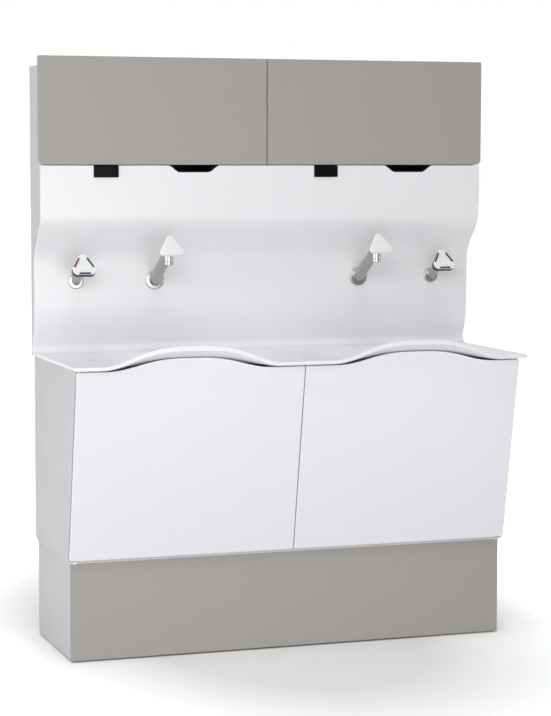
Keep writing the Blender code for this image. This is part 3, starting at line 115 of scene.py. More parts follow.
class BasinSizes(PropertyGroup):
    """Shape of the moulded basin."""

    width: length("Width", "Over the two ends of the deck", BASIN_HIGH.x - BASIN_LOW.x)
    deck_top: length("Deck height", "Top of the deck above the floor", 0.988)
    thickness: length("Thickness", "Thickness of the sheet, measured upright", 0.015)
    pitch: length("Pitch", "From one station to the other", 0.750)
    lip_rise: length("Lip rise", "Height of the lip's crests above the deck", 0.060)
    half_wave: length("Half wave", "From a crest of the lip to the foot of its flank", 0.300)
    wave_power: ratio("Wave power", "How broad the crests are", 1.55)
    corner: length("Corner radius", "Radius of the front corners in plan", 0.018)
    flare: length("Flare", "Depth over which the lip rises", 0.125)
    flare_power: ratio("Flare power", "How late the lip starts to rise", 1.3)
    thinning: length("Thinning", "How much thinner the rim is between the crests", 0.005)
    taper: length("Taper", "How far in from the rim it thins", 0.025)
    edge: length("Edge radius", "Rounding of the rim", 0.004)
    bowl_width: length("Bowl width", "Width of a bowl at the deck", 0.650)
    bowl_length: length("Bowl length", "Length of a bowl from front to back", 0.470)
    bowl_depth: length("Bowl depth", "Depth of a bowl below the deck", 0.200)
    bowl_from_wall: length("Bowl from wall", "Middle of a bowl from the wall", 0.355)
    squareness: ratio("Squareness", "How square a bowl is in plan", 2.4)
    floor_share: ratio("Floor share", "Flat share of a bowl's floor", 0.30)
    steps_x: count("Steps across", "Facets across the width", 180)
    steps_y: count("Steps in depth", "Facets from back to front", 72)


class SplashSizes(PropertyGroup):
    """Shape of the formed splash panel and its notches."""

    thickness: length("Thickness", "Thickness of the panel", 0.012)
    foot: length("Foot", "Front face from the wall at the foot", 0.085)
    drift: length("Drift", "How far the face comes forward above the foot", 0.030)
    drift_top: length("Drift height", "Height at which the face is upright", 1.190)
    curve_low: length("Curve start", "Height at which the S curve starts", 1.280)
    curve_high: length("Curve end", "Height at which the S curve ends", 1.475)
    step: length("Step", "How far the S curve comes forward", 0.099)
    cove: length("Cove", "Radius of the cove on the deck", 0.026)
    cove_edge: length("Cove edge", "Thickness of the cove's front edge", 0.0003)
    edge: length("Edge radius", "Rounding of the cut edges", 0.0012)
    end: length("End radius", "Rounding of the panel's two ends", 0.0040)
    soap_width: length("Soap notch width", "Width of the square notch", 0.087)
    soap_depth: length("Soap notch depth", "Depth of the square notch", 0.040)
    brush_top: length("Brush notch top", "Width of the flared notch at its top", 0.186)
    brush_bottom: length("Brush notch bottom", "Width of the flared notch at its bottom", 0.100)
    brush_depth: length("Brush notch depth", "Depth of the flared notch", 0.023)


class DoorSizes(PropertyGroup):
    """Shape of the lift-up doors and of the leaning front panels."""

    radius: length("Corner radius", "Radius of a door's lower outer corner", 0.018)
    small: length("Small radius", "Radius of a door's upper outer corner", 0.005)
    tray: length("Tray depth", "Depth of a door's folded edges", 0.018)
    sheet: length("Sheet", "Thickness of the folded steel", 0.002)
    edge: length("Fold radius", "Rounding of a door's folded edges", 0.0018)
    hinge_z: length("Hinge height", "Height of the hinge axis", 1.965)
    barrel: length("Barrel radius", "Radius of a hinge knuckle", 0.0045)
    bore: length("Barrel bore", "Radius of the bore for the hinge rod", 0.0030)
    knuckle: length("Knuckle", "Length of a knuckle's arm", 0.030)
    lean: angle("Panel lean", "Lean of the front panels", math.radians(10.73))
    panel: length("Panel thickness", "Thickness of the front panels", 0.012)
    panel_edge: length("Panel edge", "Rounding of the front panels' edges", 0.0015)
    panel_top: length("Panel top", "Height of the panels' top edge where the lip is low", 0.9685)
    panel_arch: length("Panel arch", "Rise of the panels' top edge under a crest", 0.0384)
    arch_power: ratio("Arch power", "How narrow the arch is", 1.55)
    land: length("Land", "Thickness of the top edge that reaches the lip", 0.003)
    panel_outer: length("Panel outer corner", "Radius of a panel's lower outer corner", 0.010)
    panel_inner: length("Panel small corner", "Radius of a panel's other corners", 0.006)
    pivot_inset: length("Pivot inset", "Pivot axis from a panel's outer edge", 0.0065)
    pivot_bore: length("Pivot bore", "Radius of a pivot's bore", 0.003)


class TapSizes(PropertyGroup):
    """Shape of the spouts, controls and keys."""

    tilt: angle("Tilt", "How far the tubes point up", math.radians(30))
    height: length("Height", "Height of the taps on the splash panel", 1.2325)
    control_aside: length("Control place", "Controls from the middle of the sink", 0.653)
    spout_reach: length("Spout reach", "Length of the spout tube", 0.232)
    spout_root: length("Spout root", "Radius of the spout tube at the flange", 0.0205)
    spout_end: length("Spout end", "Radius of the spout tube at the head", 0.0180)
    spout_flange: length("Spout flange", "Radius of the spout's flange", 0.033)
    control_reach: length("Control reach", "Length of the control's stem", 0.110)
    control_root: length("Control root", "Radius of the stem at the flange", 0.0155)
    control_end: length("Control end", "Radius of the stem at the head", 0.0130)
    control_flange: length("Control flange", "Radius of the control's flange", 0.027)
    flange_thickness: length("Flange thickness", "How far the flanges stand out", 0.006)
    spout_head: length("Spout head", "Side of a spout's triangular head", 0.100)
    spout_corner: length("Spout corner", "Corner radius of a spout's head", 0.013)
    spout_thickness: length("Spout head thickness", "Thickness of a spout's head", 0.012)
    spout_drop: length("Spout drop", "Spout's head below its tube's axis", 0.002)
    control_head: length("Control head", "Side of a control's triangular head", 0.108)
    control_corner: length("Control corner", "Corner radius of a control's head", 0.018)
    control_thickness: length("Control thickness", "Thickness of a control's head", 0.020)
    control_face: length("Control face", "Thickness of the white face on the dark body", 0.003)
    control_drop: length("Control drop", "Control's head below its stem's axis", 0.010)
    head_edge: length("Head edge", "Rounding of the heads' edges", 0.002)
    outlet: length("Outlet radius", "Radius of the outlet under a spout", 0.0165)
    outlet_length: length("Outlet length", "Length of the outlet", 0.0365)
    outlet_seat: length("Outlet seat", "How far the outlet sits inside the tube", 0.006)
    outlet_setback: length("Outlet setback", "From the spout's end to the outlet", 0.0198)
    key_length: length("Key length", "Length of a key", 0.040)
    key_width: length("Key width", "Width of a key", 0.006)
    key_height: length("Key height", "Height of a key", 0.007)
    key_proud: length("Key proud", "How far a key stands out of the head", 0.0028)
    key_travel: length("Key travel", "How far a key is pressed", 0.0015)
    key_play: length("Key play", "Gap round a key", 0.00035)
    key_from_edge: length("Key from edge", "Middle of a key from the head's edge", 0.0042)


class EdgeSizes(PropertyGroup):
    """Rounding of the plain boards and fittings."""

    board: length("Board edge", "Rounding of boards and folded sheets", 0.0008)
    outlet: length("Outlet edge", "Rounding of the soap outlets", 0.0035)
    chute: length("Chute edge", "Rounding of the brush chutes", 0.0005)
    key: length("Key edge", "Rounding of the keys", 0.0007)
    fitting: length("Fitting edge", "Rounding of small metal fittings", 0.0004)


class FinishColours(PropertyGroup):
    """Colours of the finishes, one for each material slot."""

    white_solid_surface: colour("Solid surface", "Basin and splash panel", (0.840, 0.838, 0.858))
    white_gloss_panel: colour("Gloss panel", "Leaning front panels", (0.812, 0.82, 0.86))
    warm_grey_lacquer: colour("Warm grey lacquer", "Doors and plinth front", (0.366, 0.346, 0.326))
    light_grey_laminate: colour("Light grey laminate", "Sides and backs", (0.60, 0.605, 0.615))
    pale_grey_board: colour("Pale board", "Cabinet floor and shelf", (0.66, 0.66, 0.66))
    dark_painted_steel: colour("Dark steel", "Post and legs", (0.045, 0.045, 0.048))
    black_gloss_plastic: colour("Black plastic", "Soap and brush outlets", (0.006, 0.006, 0.007))
    satin_chrome: colour("Satin nickel", "Tubes, flanges and outlets", (0.43, 0.415, 0.40))
    white_plastic: colour("White plastic", "Triangular heads", (0.82, 0.82, 0.83))
    bottle_plastic: colour("Bottle plastic", "Soap bottles", (0.74, 0.78, 0.80))
    stainless_steel: colour("Stainless steel", "Drains, hinges and pivots", (0.55, 0.55, 0.55))
    brass: colour("Brass", "Mixing valves", (0.60, 0.45, 0.20))
    grey_pipe: colour("Grey pipe", "Traps", (0.42, 0.43, 0.44))
    key_red: colour("Red key", "Left key of the left control", (0.24, 0.020, 0.024))
    key_green: colour("Green key", "Right key of the left control", (0.014, 0.105, 0.03))
    key_blue: colour("Blue key", "Bottom key of the left control", (0.020, 0.040, 0.15))
    key_dark: colour("Dark key", "Keys of the right control", (0.035, 0.035, 0.038))


class StageSettings(PropertyGroup):
    """Light and floor round the sink."""

    fill: ratio("Fill", "Strength of the even light from all round", 0.31)
    low: power("Low lamp", "Power of the soft lamp low in front", 30.0)
    high: power("High lamp", "Power of the large lamp in front and above", 82.0)
    side: power("Side lamp", "Power of the soft lamp at the left", 36.0)
    top: ratio("Top light", "Strength of the soft light from above", 0.75)
    floor: colour("Floor", "Colour of the floor", (0.82, 0.82, 0.82))
    lift: ratio("Lift", "Light the floor adds far from the sink, for the eye alone", 1.00)
    card: ratio("Card", "Brightness of the grey card that only shine shows", 0.28)
    lens: focal("Lens", "Focal length", 111.98)


class SinkSettings(PropertyGroup):
    """All settings of the sink, held by the scene."""

    basin: PointerProperty(type=BasinSizes)
    splash: PointerProperty(type=SplashSizes)
    doors: PointerProperty(type=DoorSizes)
    taps: PointerProperty(type=TapSizes)
    edges: PointerProperty(type=EdgeSizes)
    colours: PointerProperty(type=FinishColours)
    stage: PointerProperty(type=StageSettings)


def settings():
    return bpy.context.scene.scrub_sink


# Finishes


class Look(NamedTuple):
    """How a finish varies over its surface."""

    rough: float
    spread: float
    mottle: float
    share: float
    grain: float
    depth: float
    stretch: tuple = (1.0, 1.0, 1.0)
    metallic: float = 0.0
    coat: float = 0.0
    specular: float = 0.5
    subsurface: float = 0.0
    transmission: float = 0.0


LOOKS = {
    "white_solid_surface": Look(0.30, 0.015, 260, 0.012, 900, 0.00002),
    "white_gloss_panel": Look(0.17, 0.015, 6, 0.010, 220, 0.00003, coat=0.3),
    "warm_grey_lacquer": Look(0.50, 0.05, 420, 0.030, 1100, 0.00006, specular=0.35),
    "light_grey_laminate": Look(0.46, 0.05, 700, 0.030, 1300, 0.00004, specular=0.3),
    "pale_grey_board": Look(0.52, 0.06, 90, 0.040, 800, 0.00005, stretch=(0.2, 1.0, 1.0)),
    "dark_painted_steel": Look(0.55, 0.06, 500, 0.080, 1200, 0.00006),
    "black_gloss_plastic": Look(0.16, 0.04, 60, 0.100, 700, 0.00002, specular=0.04),
    "satin_chrome": Look(0.24, 0.04, 300, 0.030, 1600, 0.00002, metallic=1.0),
    "white_plastic": Look(0.28, 0.04, 300, 0.010, 900, 0.00002, coat=0.2),
    "bottle_plastic": Look(0.34, 0.06, 40, 0.030, 300, 0.00004, subsurface=0.2, transmission=0.25),
    "stainless_steel": Look(0.27, 0.08, 400, 0.050, 900, 0.00003, stretch=(0.05, 1, 1), metallic=1.0),
    "brass": Look(0.30, 0.08, 200, 0.060, 900, 0.00004, metallic=1.0),
    "grey_pipe": Look(0.45, 0.05, 120, 0.030, 700, 0.00004),
    "key_dark": Look(0.38, 0.05, 300, 0.060, 900, 0.00002),
}
LOOKS.update({f"key_{hue}": Look(0.33, 0.05, 300, 0.040, 900, 0.00002) for hue in ("red", "green", "blue")})
SMEAR_SCALE = 14.0
BUMP_STRENGTH = 0.5
COAT_ROUGHNESS = 0.08
SUBSURFACE_SCALE = 0.004


def set_inputs(node, inputs):
    """Links a node's inputs to sockets or sets them to values."""
    for key, value in inputs.items():
        if isinstance(value, bpy.types.NodeSocket):
            node.id_data.links.new(value, node.inputs[key])
        else:
            node.inputs[key].default_value = value


def add_node(tree, kind, inputs, output=0, **options):
    """One output of a new node with these options and inputs."""
    node = tree.nodes.new(f"ShaderNode{kind}")
    for option, value in options.items():
        setattr(node, option, value)
    set_inputs(node, inputs)
    return node.outputs[output]


def noise(tree, vector, scale, detail):
    return add_node(tree, "TexNoise", {"Vector": vector, "Scale": scale, "Detail": detail}, "Fac")


def tones(tree, factor, base, share):
    """A colour that varies about its base by a share, driven by a factor."""
    dark = (*(c * (1 - share) for c in base), 1.0)
    light = (*(min(c * (1 + share), 1.0) for c in base), 1.0)
    return add_node(tree, "Mix", {0: factor, 6: dark, 7: light}, 2, data_type="RGBA")


def ranged(tree, factor, low, high, span=(0.3, 0.7)):
    inputs = {"From Min": span[0], "From Max": span[1], "To Min": low, "To Max": high}
    return add_node(tree, "MapRange", {"Value": factor, **inputs})


def finish(slot):
    """The material of a slot, made when it is first asked for."""
    name = f"{slot}_finish"
    if name in bpy.data.materials:
        return bpy.data.materials[name]
    look = LOOKS[slot]
    material = bpy.data.materials.new(name)
    material.use_nodes = True
    tree = material.node_tree
    place = add_node(tree, "TexCoord", {}, "Object")
    vector = add_node(tree, "Mapping", {"Vector": place, "Scale": look.stretch})
    mottle = noise(tree, vector, look.mottle, detail=4.0)
    smear = noise(tree, vector, SMEAR_SCALE, detail=3.0)
    grain = noise(tree, vector, look.grain, detail=2.0)
    bump = {"Strength": BUMP_STRENGTH, "Distance": look.depth, "Height": grain}
    inputs = {
        "Base Color": tones(tree, mottle, getattr(settings().colours, slot), look.share),
        "Roughness": ranged(tree, smear, look.rough - look.spread, look.rough + look.spread),
        "Normal": add_node(tree, "Bump", bump),
        "Metallic": look.metallic,
        "Specular IOR Level": look.specular,
        "Coat Weight": look.coat,
        "Coat Roughness": COAT_ROUGHNESS,
        "Subsurface Weight": look.subsurface,
        "Subsurface Scale": SUBSURFACE_SCALE,
        "Transmission Weight": look.transmission,
    }
    set_inputs(tree.nodes["Principled BSDF"], inputs)
    return material


# Meshes


def from_wall(y):
    return BACK_Y - y


def at(x, wall, z):
    """World point at a side position, a distance from the wall and a height."""
    return Vector((x, BACK_Y - wall, z))


def wall_plane(x, wall, z):
    """A frame on an upright face: its X to the right, its Y up and its Z away from the wall."""
    return Matrix.Translation(at(x, wall, z)) @ Matrix.Rotation(QUARTER_TURN, 4, "X")


def clamped(t):
    return min(max(t, 0.0), 1.0)


def smooth_step(t):
    return (1 - math.cos(math.pi * clamped(t))) / 2


def softer_step(t):
    """A step that also starts and ends without a kink in its slope."""
    t = clamped(t)
    return t**3 * (10 - 15 * t + 6 * t * t)


def lines(low, high, steps):
    """Even steps from one position to another, both included."""
    return [low + (high - low) * i / steps for i in range(steps + 1)]


def polar(radius, turn):
    return radius * math.cos(turn), radius * math.sin(turn)


def circle(radius, steps):
    return [polar(radius, turn) for turn in lines(0.0, math.tau, steps)[:-1]]


def arc(centre, radius, start, stop, steps=CORNER_STEPS):
    """Points on an arc, from one angle to another in degrees."""
    moves = [polar(radius, math.radians(a)) for a in lines(start, stop, steps)]
    return [(centre[0] + x, centre[1] + y) for x, y in moves]


def softened(points, radius, steps=4):
    """The points of a line with its corners rounded."""
    soft = [points[0]]
    for before, corner, after in zip(points, points[1:], points[2:]):
        here = Vector(corner)
        back, on = Vector(before) - here, Vector(after) - here
        reach = min(radius, back.length / 2, on.length / 2)
        start, stop = here + back.normalized() * reach, here + on.normalized() * reach
        for t in lines(0, 1, steps):
            soft.append(tuple(start * (1 - t) ** 2 + here * (2 * t * (1 - t)) + stop * t**2))
    return soft + [points[-1]]


def bridge(model, rings, steps):
    """Adds the faces between rings of points, where a ring of one point is a tip."""
    for upper, lower in zip(rings, rings[1:]):
        for i in range(steps):
            picks = ((upper, i), (upper, i + 1), (lower, i + 1), (lower, i))
            corners = dict.fromkeys(ring[k % len(ring)] for ring, k in picks)
            if len(corners) > 2:
                model.faces.new(list(corners))


def turned(profile, place, steps=ROUND_STEPS, model=None):
    """A solid of revolution about its own Z, from a profile of (radius, height)."""
    if model is None:
        model = bmesh.new()
    rings = []
    for radius, height in profile:
        points = circle(radius, steps if radius else 1)
        rings.append([model.verts.new(place @ Vector((x, y, height))) for x, y in points])
    bridge(model, rings, steps)
    return model


def rod(radius, half, place, steps):
    """A round rod along its own Z."""
    return turned([(0, half), (radius, half), (radius, -half), (0, -half)], place, steps)


def slab(outline, low, high, place=Matrix(), model=None):
    """A flat outline in its own XY plane, as thick as from low to high."""
    if model is None:
        model = bmesh.new()
    bottom = [model.verts.new(place @ Vector((x, y, low))) for x, y in outline]
    top = [model.verts.new(place @ Vector((x, y, high))) for x, y in outline]
    model.faces.new(list(reversed(bottom)))
    model.faces.new(top)
    for i in range(len(outline)):
        j = (i + 1) % len(outline)
        model.faces.new((bottom[i], bottom[j], top[j], top[i]))
    return model


def block(x_range, wall_range, z_range, model=None):
    """A box between two side positions, two distances from the wall and two heights."""
    (x0, x1), (near, far) = x_range, (BACK_Y - wall for wall in wall_range)
    return slab([(x0, far), (x1, far), (x1, near), (x0, near)], *z_range, model=model)


def pipe(points, radius, steps=28):
    """A round pipe along points that share one side position."""
    model = bmesh.new()
    across = Vector((1, 0, 0))
    rings = []
    for i, point in enumerate(points):
        along = points[min(i + 1, len(points) - 1)] - points[max(i - 1, 0)]
        up = along.normalized().cross(across)
        ring = circle(radius, steps)
        rings.append([model.verts.new(point + across * a + up * b) for a, b in ring])
    bridge(model, rings, steps)
    model.faces.new(list(reversed(rings[0])))
    model.faces.new(rings[-1])
    return model


def node_box(node):
    """Low corner, high corner and middle of a CAD node's box."""
    low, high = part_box(node)
    return low, high, (low + high) / 2


def add_object(name, model):
    """Adds a bmesh to the scene, with its faces turned outward."""
    bmesh.ops.recalc_face_normals(model, faces=model.faces)
    mesh = bpy.data.meshes.new(name)
    model.to_mesh(mesh)
    model.free()
    obj = bpy.data.objects.new(name, mesh)
    bpy.context.scene.collection.objects.link(obj)
    return obj


def add_piece(name, model, node, body="frame", slot=None):
    """A shown piece that rides on a body and stands for a CAD node, in the node's slot or another."""
    slot = slot or SLOT_OF[node]
    obj = add_object(name, model)
    obj.data.shade_smooth()
    obj.data.materials.append(finish(slot))
    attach(obj, body)
    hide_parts(node)
    return obj


def round_edges(obj, width, segments=3, limit="ANGLE"):
    modifier = obj.modifiers.new("rounded edges", "BEVEL")
    modifier.width = width
    modifier.segments = segments
    modifier.limit_method = limit
    modifier.angle_limit = SHARP_ANGLE
    return obj


def even_normals(obj):
    modifier = obj.modifiers.new("even normals", "WEIGHTED_NORMAL")
    modifier.keep_sharp = True


def sharpen(obj):
    """Smooth faces that stay sharp where they meet at a steep angle."""
    obj.data.shade_smooth()
    obj.data.set_sharp_from_angle(angle=SHARP_ANGLE)
    return obj


def carve(obj, *cutters):
    """Cuts bmesh solids out of a piece, with its earlier modifiers applied first."""
    helpers = [add_object("cutter", model) for model in cutters]
    for helper in helpers:
        modifier = obj.modifiers.new("cut", "BOOLEAN")
        modifier.operation = "DIFFERENCE"
        modifier.solver = "EXACT"
        modifier.object = helper
    bpy.context.view_layer.update()
    graph = bpy.context.evaluated_depsgraph_get()
    cut_mesh = bpy.data.meshes.new_from_object(obj.evaluated_get(graph))
    obj.modifiers.clear()
    obj.data = cut_mesh
    for helper in helpers:
        bpy.data.objects.remove(helper)
    if not cut_mesh.polygons:
        raise RuntimeError(f"{obj.name} has nothing left after its cuts")
    return obj


WELD_DISTANCE = 0.00002
FLAT_ANGLE = math.radians(1.0)


def dress(node, edge):
    """Gives a CAD node its finish and softly rounded edges."""
    obj = frame["nodes"][node]
    slot = SLOT_OF[node]
    mesh = obj.data
    if "custom_normal" in mesh.attributes:
        mesh.attributes.remove(mesh.attributes["custom_normal"])
    mesh.materials.clear()
    mesh.materials.append(finish(slot))
    mesh.shade_smooth()
    weld = obj.modifiers.new("weld", "WELD")
    weld.merge_threshold = WELD_DISTANCE
    flat = obj.modifiers.new("flat faces", "DECIMATE")
    flat.decimate_type = "DISSOLVE"
    flat.angle_limit = FLAT_ANGLE
    even_normals(round_edges(obj, edge, segments=2))


def dress_all(edge, singles, pairs):
    """Dresses single nodes, then the left and the right node of each pair."""
    for node in (*singles, *(f"{kind}_{side}" for side in SIDES for kind in pairs)):
        dress(node, edge)


# Basin


def wave(x):
    """0 in the middle and near the ends of the lip, 1 at the crest of each half."""
    sizes = settings().basin
    from_crest = abs(abs(x) - sizes.width / 4) / sizes.half_wave
    return 1 - smooth_step(from_crest**sizes.wave_power)


def basin_height(x, wall):
    sizes = settings().basin
    along = (wall - (from_wall(BASIN_LOW.y) - sizes.flare)) / sizes.flare
    rise = sizes.lip_rise * max(along, 0.0) ** sizes.flare_power * wave(x)
    across = abs(abs(x) - sizes.pitch / 2) / (sizes.bowl_width / 2)
    deep = abs(wall - sizes.bowl_from_wall) / (sizes.bowl_length / 2)
    radius = (across**sizes.squareness + deep**sizes.squareness) ** (1 / sizes.squareness)
    share = clamped((radius - sizes.floor_share) / (1 - sizes.floor_share))
    drop = 1 - share * share * (3 - 2 * share)
    return sizes.deck_top + rise - sizes.bowl_depth * drop


def corner_point(x, wall):
    """Pulls a point near a front corner of the deck into the corner's radius."""
    sizes = settings().basin
    half, front = sizes.width / 2 - sizes.corner, from_wall(BASIN_LOW.y) - sizes.corner
    a, b = (abs(x) - half) / sizes.corner, (wall - front) / sizes.corner
    if a > 0 and b > 0:
        x = math.copysign(half + sizes.corner * a * math.sqrt(1 - b * b / 2), x)
        wall = front + sizes.corner * b * math.sqrt(1 - a * a / 2)
    return x, wall


class SINK_OT_basin(Operator):
    """Forms the basin with its waved lip and two bowls"""

    bl_idname = "scrub_sink.basin"
    bl_label = "Basin"

    def execute(self, context):
        sizes = settings().basin
        back, front = from_wall(BASIN_HIGH.y), from_wall(BASIN_LOW.y)
        half = sizes.width / 2
        inner = half - sizes.corner
        columns = lines(-half, -inner, CORNER_STEPS)[:-1] + lines(-inner, inner, sizes.steps_x)
        columns += lines(inner, half, CORNER_STEPS)[1:]
        rows = lines(back, front - sizes.corner, sizes.steps_y)
        rows += lines(front - sizes.corner, front, CORNER_STEPS)[1:]
        model = bmesh.new()
        places = [[corner_point(x, wall) for x in columns] for wall in rows]
        grid = [[model.verts.new(at(x, d, basin_height(x, d))) for x, d in row] for row in places]
        for near, far in zip(grid, grid[1:]):
            for i in range(len(columns) - 1):
                model.faces.new((near[i], near[i + 1], far[i + 1], far[i]))
        extruded = bmesh.ops.extrude_face_region(model, geom=list(model.faces))["geom"]
        lowered = {item for item in extruded if isinstance(item, bmesh.types.BMVert)}
        for vert in lowered:
            inward = min(half - abs(vert.co.x), front - from_wall(vert.co.y)) / sizes.taper
            thinner = sizes.thinning * (1 - wave(vert.co.x)) * max(1 - inward, 0.0)
            vert.co.z -= sizes.thickness - thinner
        self.mark_rim(model, lowered)
        obj = add_piece("basin_moulding", model, "basin")
        round_edges(obj, sizes.edge, segments=5, limit="WEIGHT")
        return {"FINISHED"}

    def mark_rim(self, model, lowered):
        """Marks the upper and lower edges of the rim for rounding."""
        weight = model.edges.layers.float.new("bevel_weight_edge")
        for face in model.faces:
            if 0 < len(lowered.intersection(face.verts)) < len(face.verts):
                for edge in face.edges:
                    level = len(lowered.intersection(edge.verts)) != 1
                    edge[weight] = 1.0 if level else 0.0


# Splash panel

ACROSS = Matrix(((0, 0, 1, 0), (1, 0, 0, 0), (0, 1, 0, 0), (0, 0, 0, 1)))
DRIFT_STEPS = 16
CURVE_STEPS = 40


def splash_front(z):
    """Distance from the wall of the splash panel's front face at a height."""
    sizes = settings().splash
    upper = (z - sizes.curve_low) / (sizes.curve_high - sizes.curve_low)
    lower = (sizes.drift_top - z) / (sizes.drift_top - SPLASH_LOW.z - sizes.cove)
    drift = sizes.drift * clamped(lower) ** 3
    return sizes.foot + sizes.drift + sizes.step * softer_step(upper) - drift


def splash_outline():
    """Cross section of the panel as distance from the wall and height."""
    sizes = settings().splash
    cove_top = SPLASH_LOW.z + sizes.cove
    heights = lines(cove_top, sizes.drift_top, DRIFT_STEPS)
    heights += lines(sizes.curve_low, sizes.curve_high, CURVE_STEPS)
    line = [(splash_front(z), z) for z in sorted([*heights, SPLASH_HIGH.z])]
    cove = arc((sizes.foot + sizes.cove, cove_top), sizes.cove, 270, 180)
    cove = [(wall, max(z, SPLASH_LOW.z + sizes.cove_edge)) for wall, z in cove]
    cove = list(dict.fromkeys(cove))
    back = [(wall - sizes.thickness, z) for wall, z in reversed(line)]
    foot = [(sizes.foot - sizes.thickness, SPLASH_LOW.z), (sizes.foot + sizes.cove, SPLASH_LOW.z)]
    return cove[:-1] + line + back + foot


def flank(low_half, high_half, bottom, top, steps=18):
    """Points up the right flank of a notch that leaves its bottom and meets its top softly."""
    heights = [bottom + (top - bottom) * smooth_step(t) for t in lines(0, 1, steps)]
    return list(zip(lines(low_half, high_half, steps), heights))


class SINK_OT_splash_panel(Operator):
    """Forms the splash panel with its S curve, cove and notches"""

    bl_idname = "scrub_sink.splash_panel"
    bl_label = "Splash panel"

    def execute(self, context):
        outline = [(BACK_Y - wall, z) for wall, z in splash_outline()]
        model = slab(outline, SPLASH_LOW.x, SPLASH_HIGH.x, ACROSS)
        obj = add_piece("splash_sheet", model, "splash_panel")
        carve(obj, *(notch for side in SIDES for notch in self.notches(side)))
        self.mark_edges(obj.data)
        even_normals(round_edges(obj, settings().splash.end, segments=4, limit="WEIGHT"))
        return {"FINISHED"}

    def notches(self, side):
        """The cutters of a station's square notch and flared notch."""
        sizes = settings().splash
        top, front = SPLASH_HIGH.z, from_wall(SPLASH_LOW.y)
        x, half = node_box(f"soap_dispenser_{side}")[2].x, sizes.soap_width / 2
        wall_range = (front - 2 * sizes.thickness, front + sizes.thickness)
        square = block((x - half, x + half), wall_range, (top - sizes.soap_depth, top + OVERCUT))
        right = flank(sizes.brush_bottom / 2, sizes.brush_top / 2, -sizes.brush_depth, 0.0)
        right.append((sizes.brush_top / 2, OVERCUT))
        points = right + [(-a, b) for a, b in reversed(right)]
        place = wall_plane(node_box(f"brush_dispenser_{side}")[2].x, front, top)
        return square, slab(points, -2 * sizes.thickness, sizes.thickness, place)

    def mark_edges(self, mesh):
        """The ends are rounded most, cut edges a little, and the cove's thin toe stays sharp."""
        sizes = settings().splash
        mesh.shade_smooth()
        model = bmesh.new()
        model.from_mesh(mesh)
        weight = model.edges.layers.float.new("bevel_weight_edge")
        for edge in model.edges:
            if edge.calc_face_angle(0.0) < SHARP_ANGLE:
                continue
            toe = max(v.co.z for v in edge.verts) < SPLASH_LOW.z + 2 * CLEARANCE
            at_end = min(abs(v.co.x) for v in edge.verts) > SPLASH_HIGH.x - CLEARANCE
            edge.smooth = not toe
            if not toe:
                edge[weight] = 1.0 if at_end else sizes.edge / sizes.end
        model.to_mesh(mesh)
        model.free()


# Doors and front panels

KNUCKLE_GAP = 0.004
KNUCKLE_PLAY = 0.0015
ARM_HALF = 0.0036
MERGE_DISTANCE = 1e-7
CUT_END = 0.030
CUT_REACH = 0.012
BORE_DEPTH = 0.024


def door_outline(sign, inset):
    """Outline of a door as side position and height, with a round lower outer corner."""
    sizes = settings().doors
    low_x, high_x = DOOR_LOW.x + inset, DOOR_HIGH.x - inset
    low_z, high_z = DOOR_LOW.z + inset, DOOR_HIGH.z - inset
    radius, small = sizes.radius - inset, sizes.small - inset
    points = [(low_x, high_z), (low_x, low_z)]
    points += arc((high_x - radius, low_z + radius), radius, 270, 360)
    points += arc((high_x - small, high_z - small), small, 0, 90)
    return [(sign * x, z) for x, z in points]


class SINK_OT_doors(Operator):
    """Folds the two lift-up doors with their hinge knuckles"""

    bl_idname = "scrub_sink.doors"
    bl_label = "Doors"

    def execute(self, context):
        sizes = settings().doors
        plane = wall_plane(0, from_wall(DOOR_LOW.y), 0)
        for side, sign in SIDES.items():
            model = slab(door_outline(sign, 0.0), -sizes.tray, 0.0, plane)
            obj = add_piece(f"door_tray_{side}", model, f"door_{side}", f"{side}_door")
            round_edges(obj, sizes.edge)
            carve(obj, slab(door_outline(sign, sizes.sheet), -2 * sizes.tray, -sizes.sheet, plane))
            model = bmesh.new()
            model.from_mesh(obj.data)
            self.add_knuckles(model, side)
            bmesh.ops.remove_doubles(model, verts=model.verts, dist=MERGE_DISTANCE)
            bmesh.ops.recalc_face_normals(model, faces=model.faces)
            model.to_mesh(obj.data)
            model.free()
            even_normals(sharpen(obj))
        return {"FINISHED"}

    def add_knuckles(self, model, side):
        """Adds three hinge knuckles, each with an arm to the door's front sheet."""
        sizes = settings().doors
        front = from_wall(DOOR_LOW.y)
        axis_wall = front - sizes.tray
        low, high, middle = node_box(f"door_hinge_{side}")
        reach = (high.x - low.x) / 2
        half = sizes.knuckle / 2
        end = reach - half - (sizes.knuckle + KNUCKLE_GAP)
        barrel = half - KNUCKLE_PLAY
        ring = [(sizes.barrel, barrel), (sizes.barrel, -barrel), (sizes.bore, -barrel)]
        ring += [(sizes.bore, barrel), (sizes.barrel, barrel)]
        wall_range = (axis_wall + sizes.bore + CLEARANCE, front - sizes.sheet / 2)
        z_range = (sizes.hinge_z - ARM_HALF, sizes.hinge_z + ARM_HALF)
        for x in (middle.x - end, middle.x, middle.x + end):
            place = Matrix.Translation(at(x, axis_wall, sizes.hinge_z))
            place = place @ Matrix.Rotation(QUARTER_TURN, 4, "Y")
            turned(ring, place, steps=32, model=model)
            block((x - half, x + half), wall_range, z_range, model)


def panel_height(x):
    """Length of a front panel up its lean, at a side position."""
    sizes = settings().doors
    top = sizes.panel_top + sizes.panel_arch * wave(x) ** sizes.arch_power
    return (top - PANEL_LOW.z) / math.cos(sizes.lean)


def panel_plane():
    """A frame in the front face of the panels: X to the right, Y up the lean, Z out."""
    lean = settings().doors.lean
    rise = PANEL_HIGH.z - PANEL_LOW.z
    foot = Vector((0, PANEL_LOW.y + rise * math.tan(lean), PANEL_LOW.z))
    return Matrix.Translation(foot) @ Matrix.Rotation(QUARTER_TURN + lean, 4, "X")


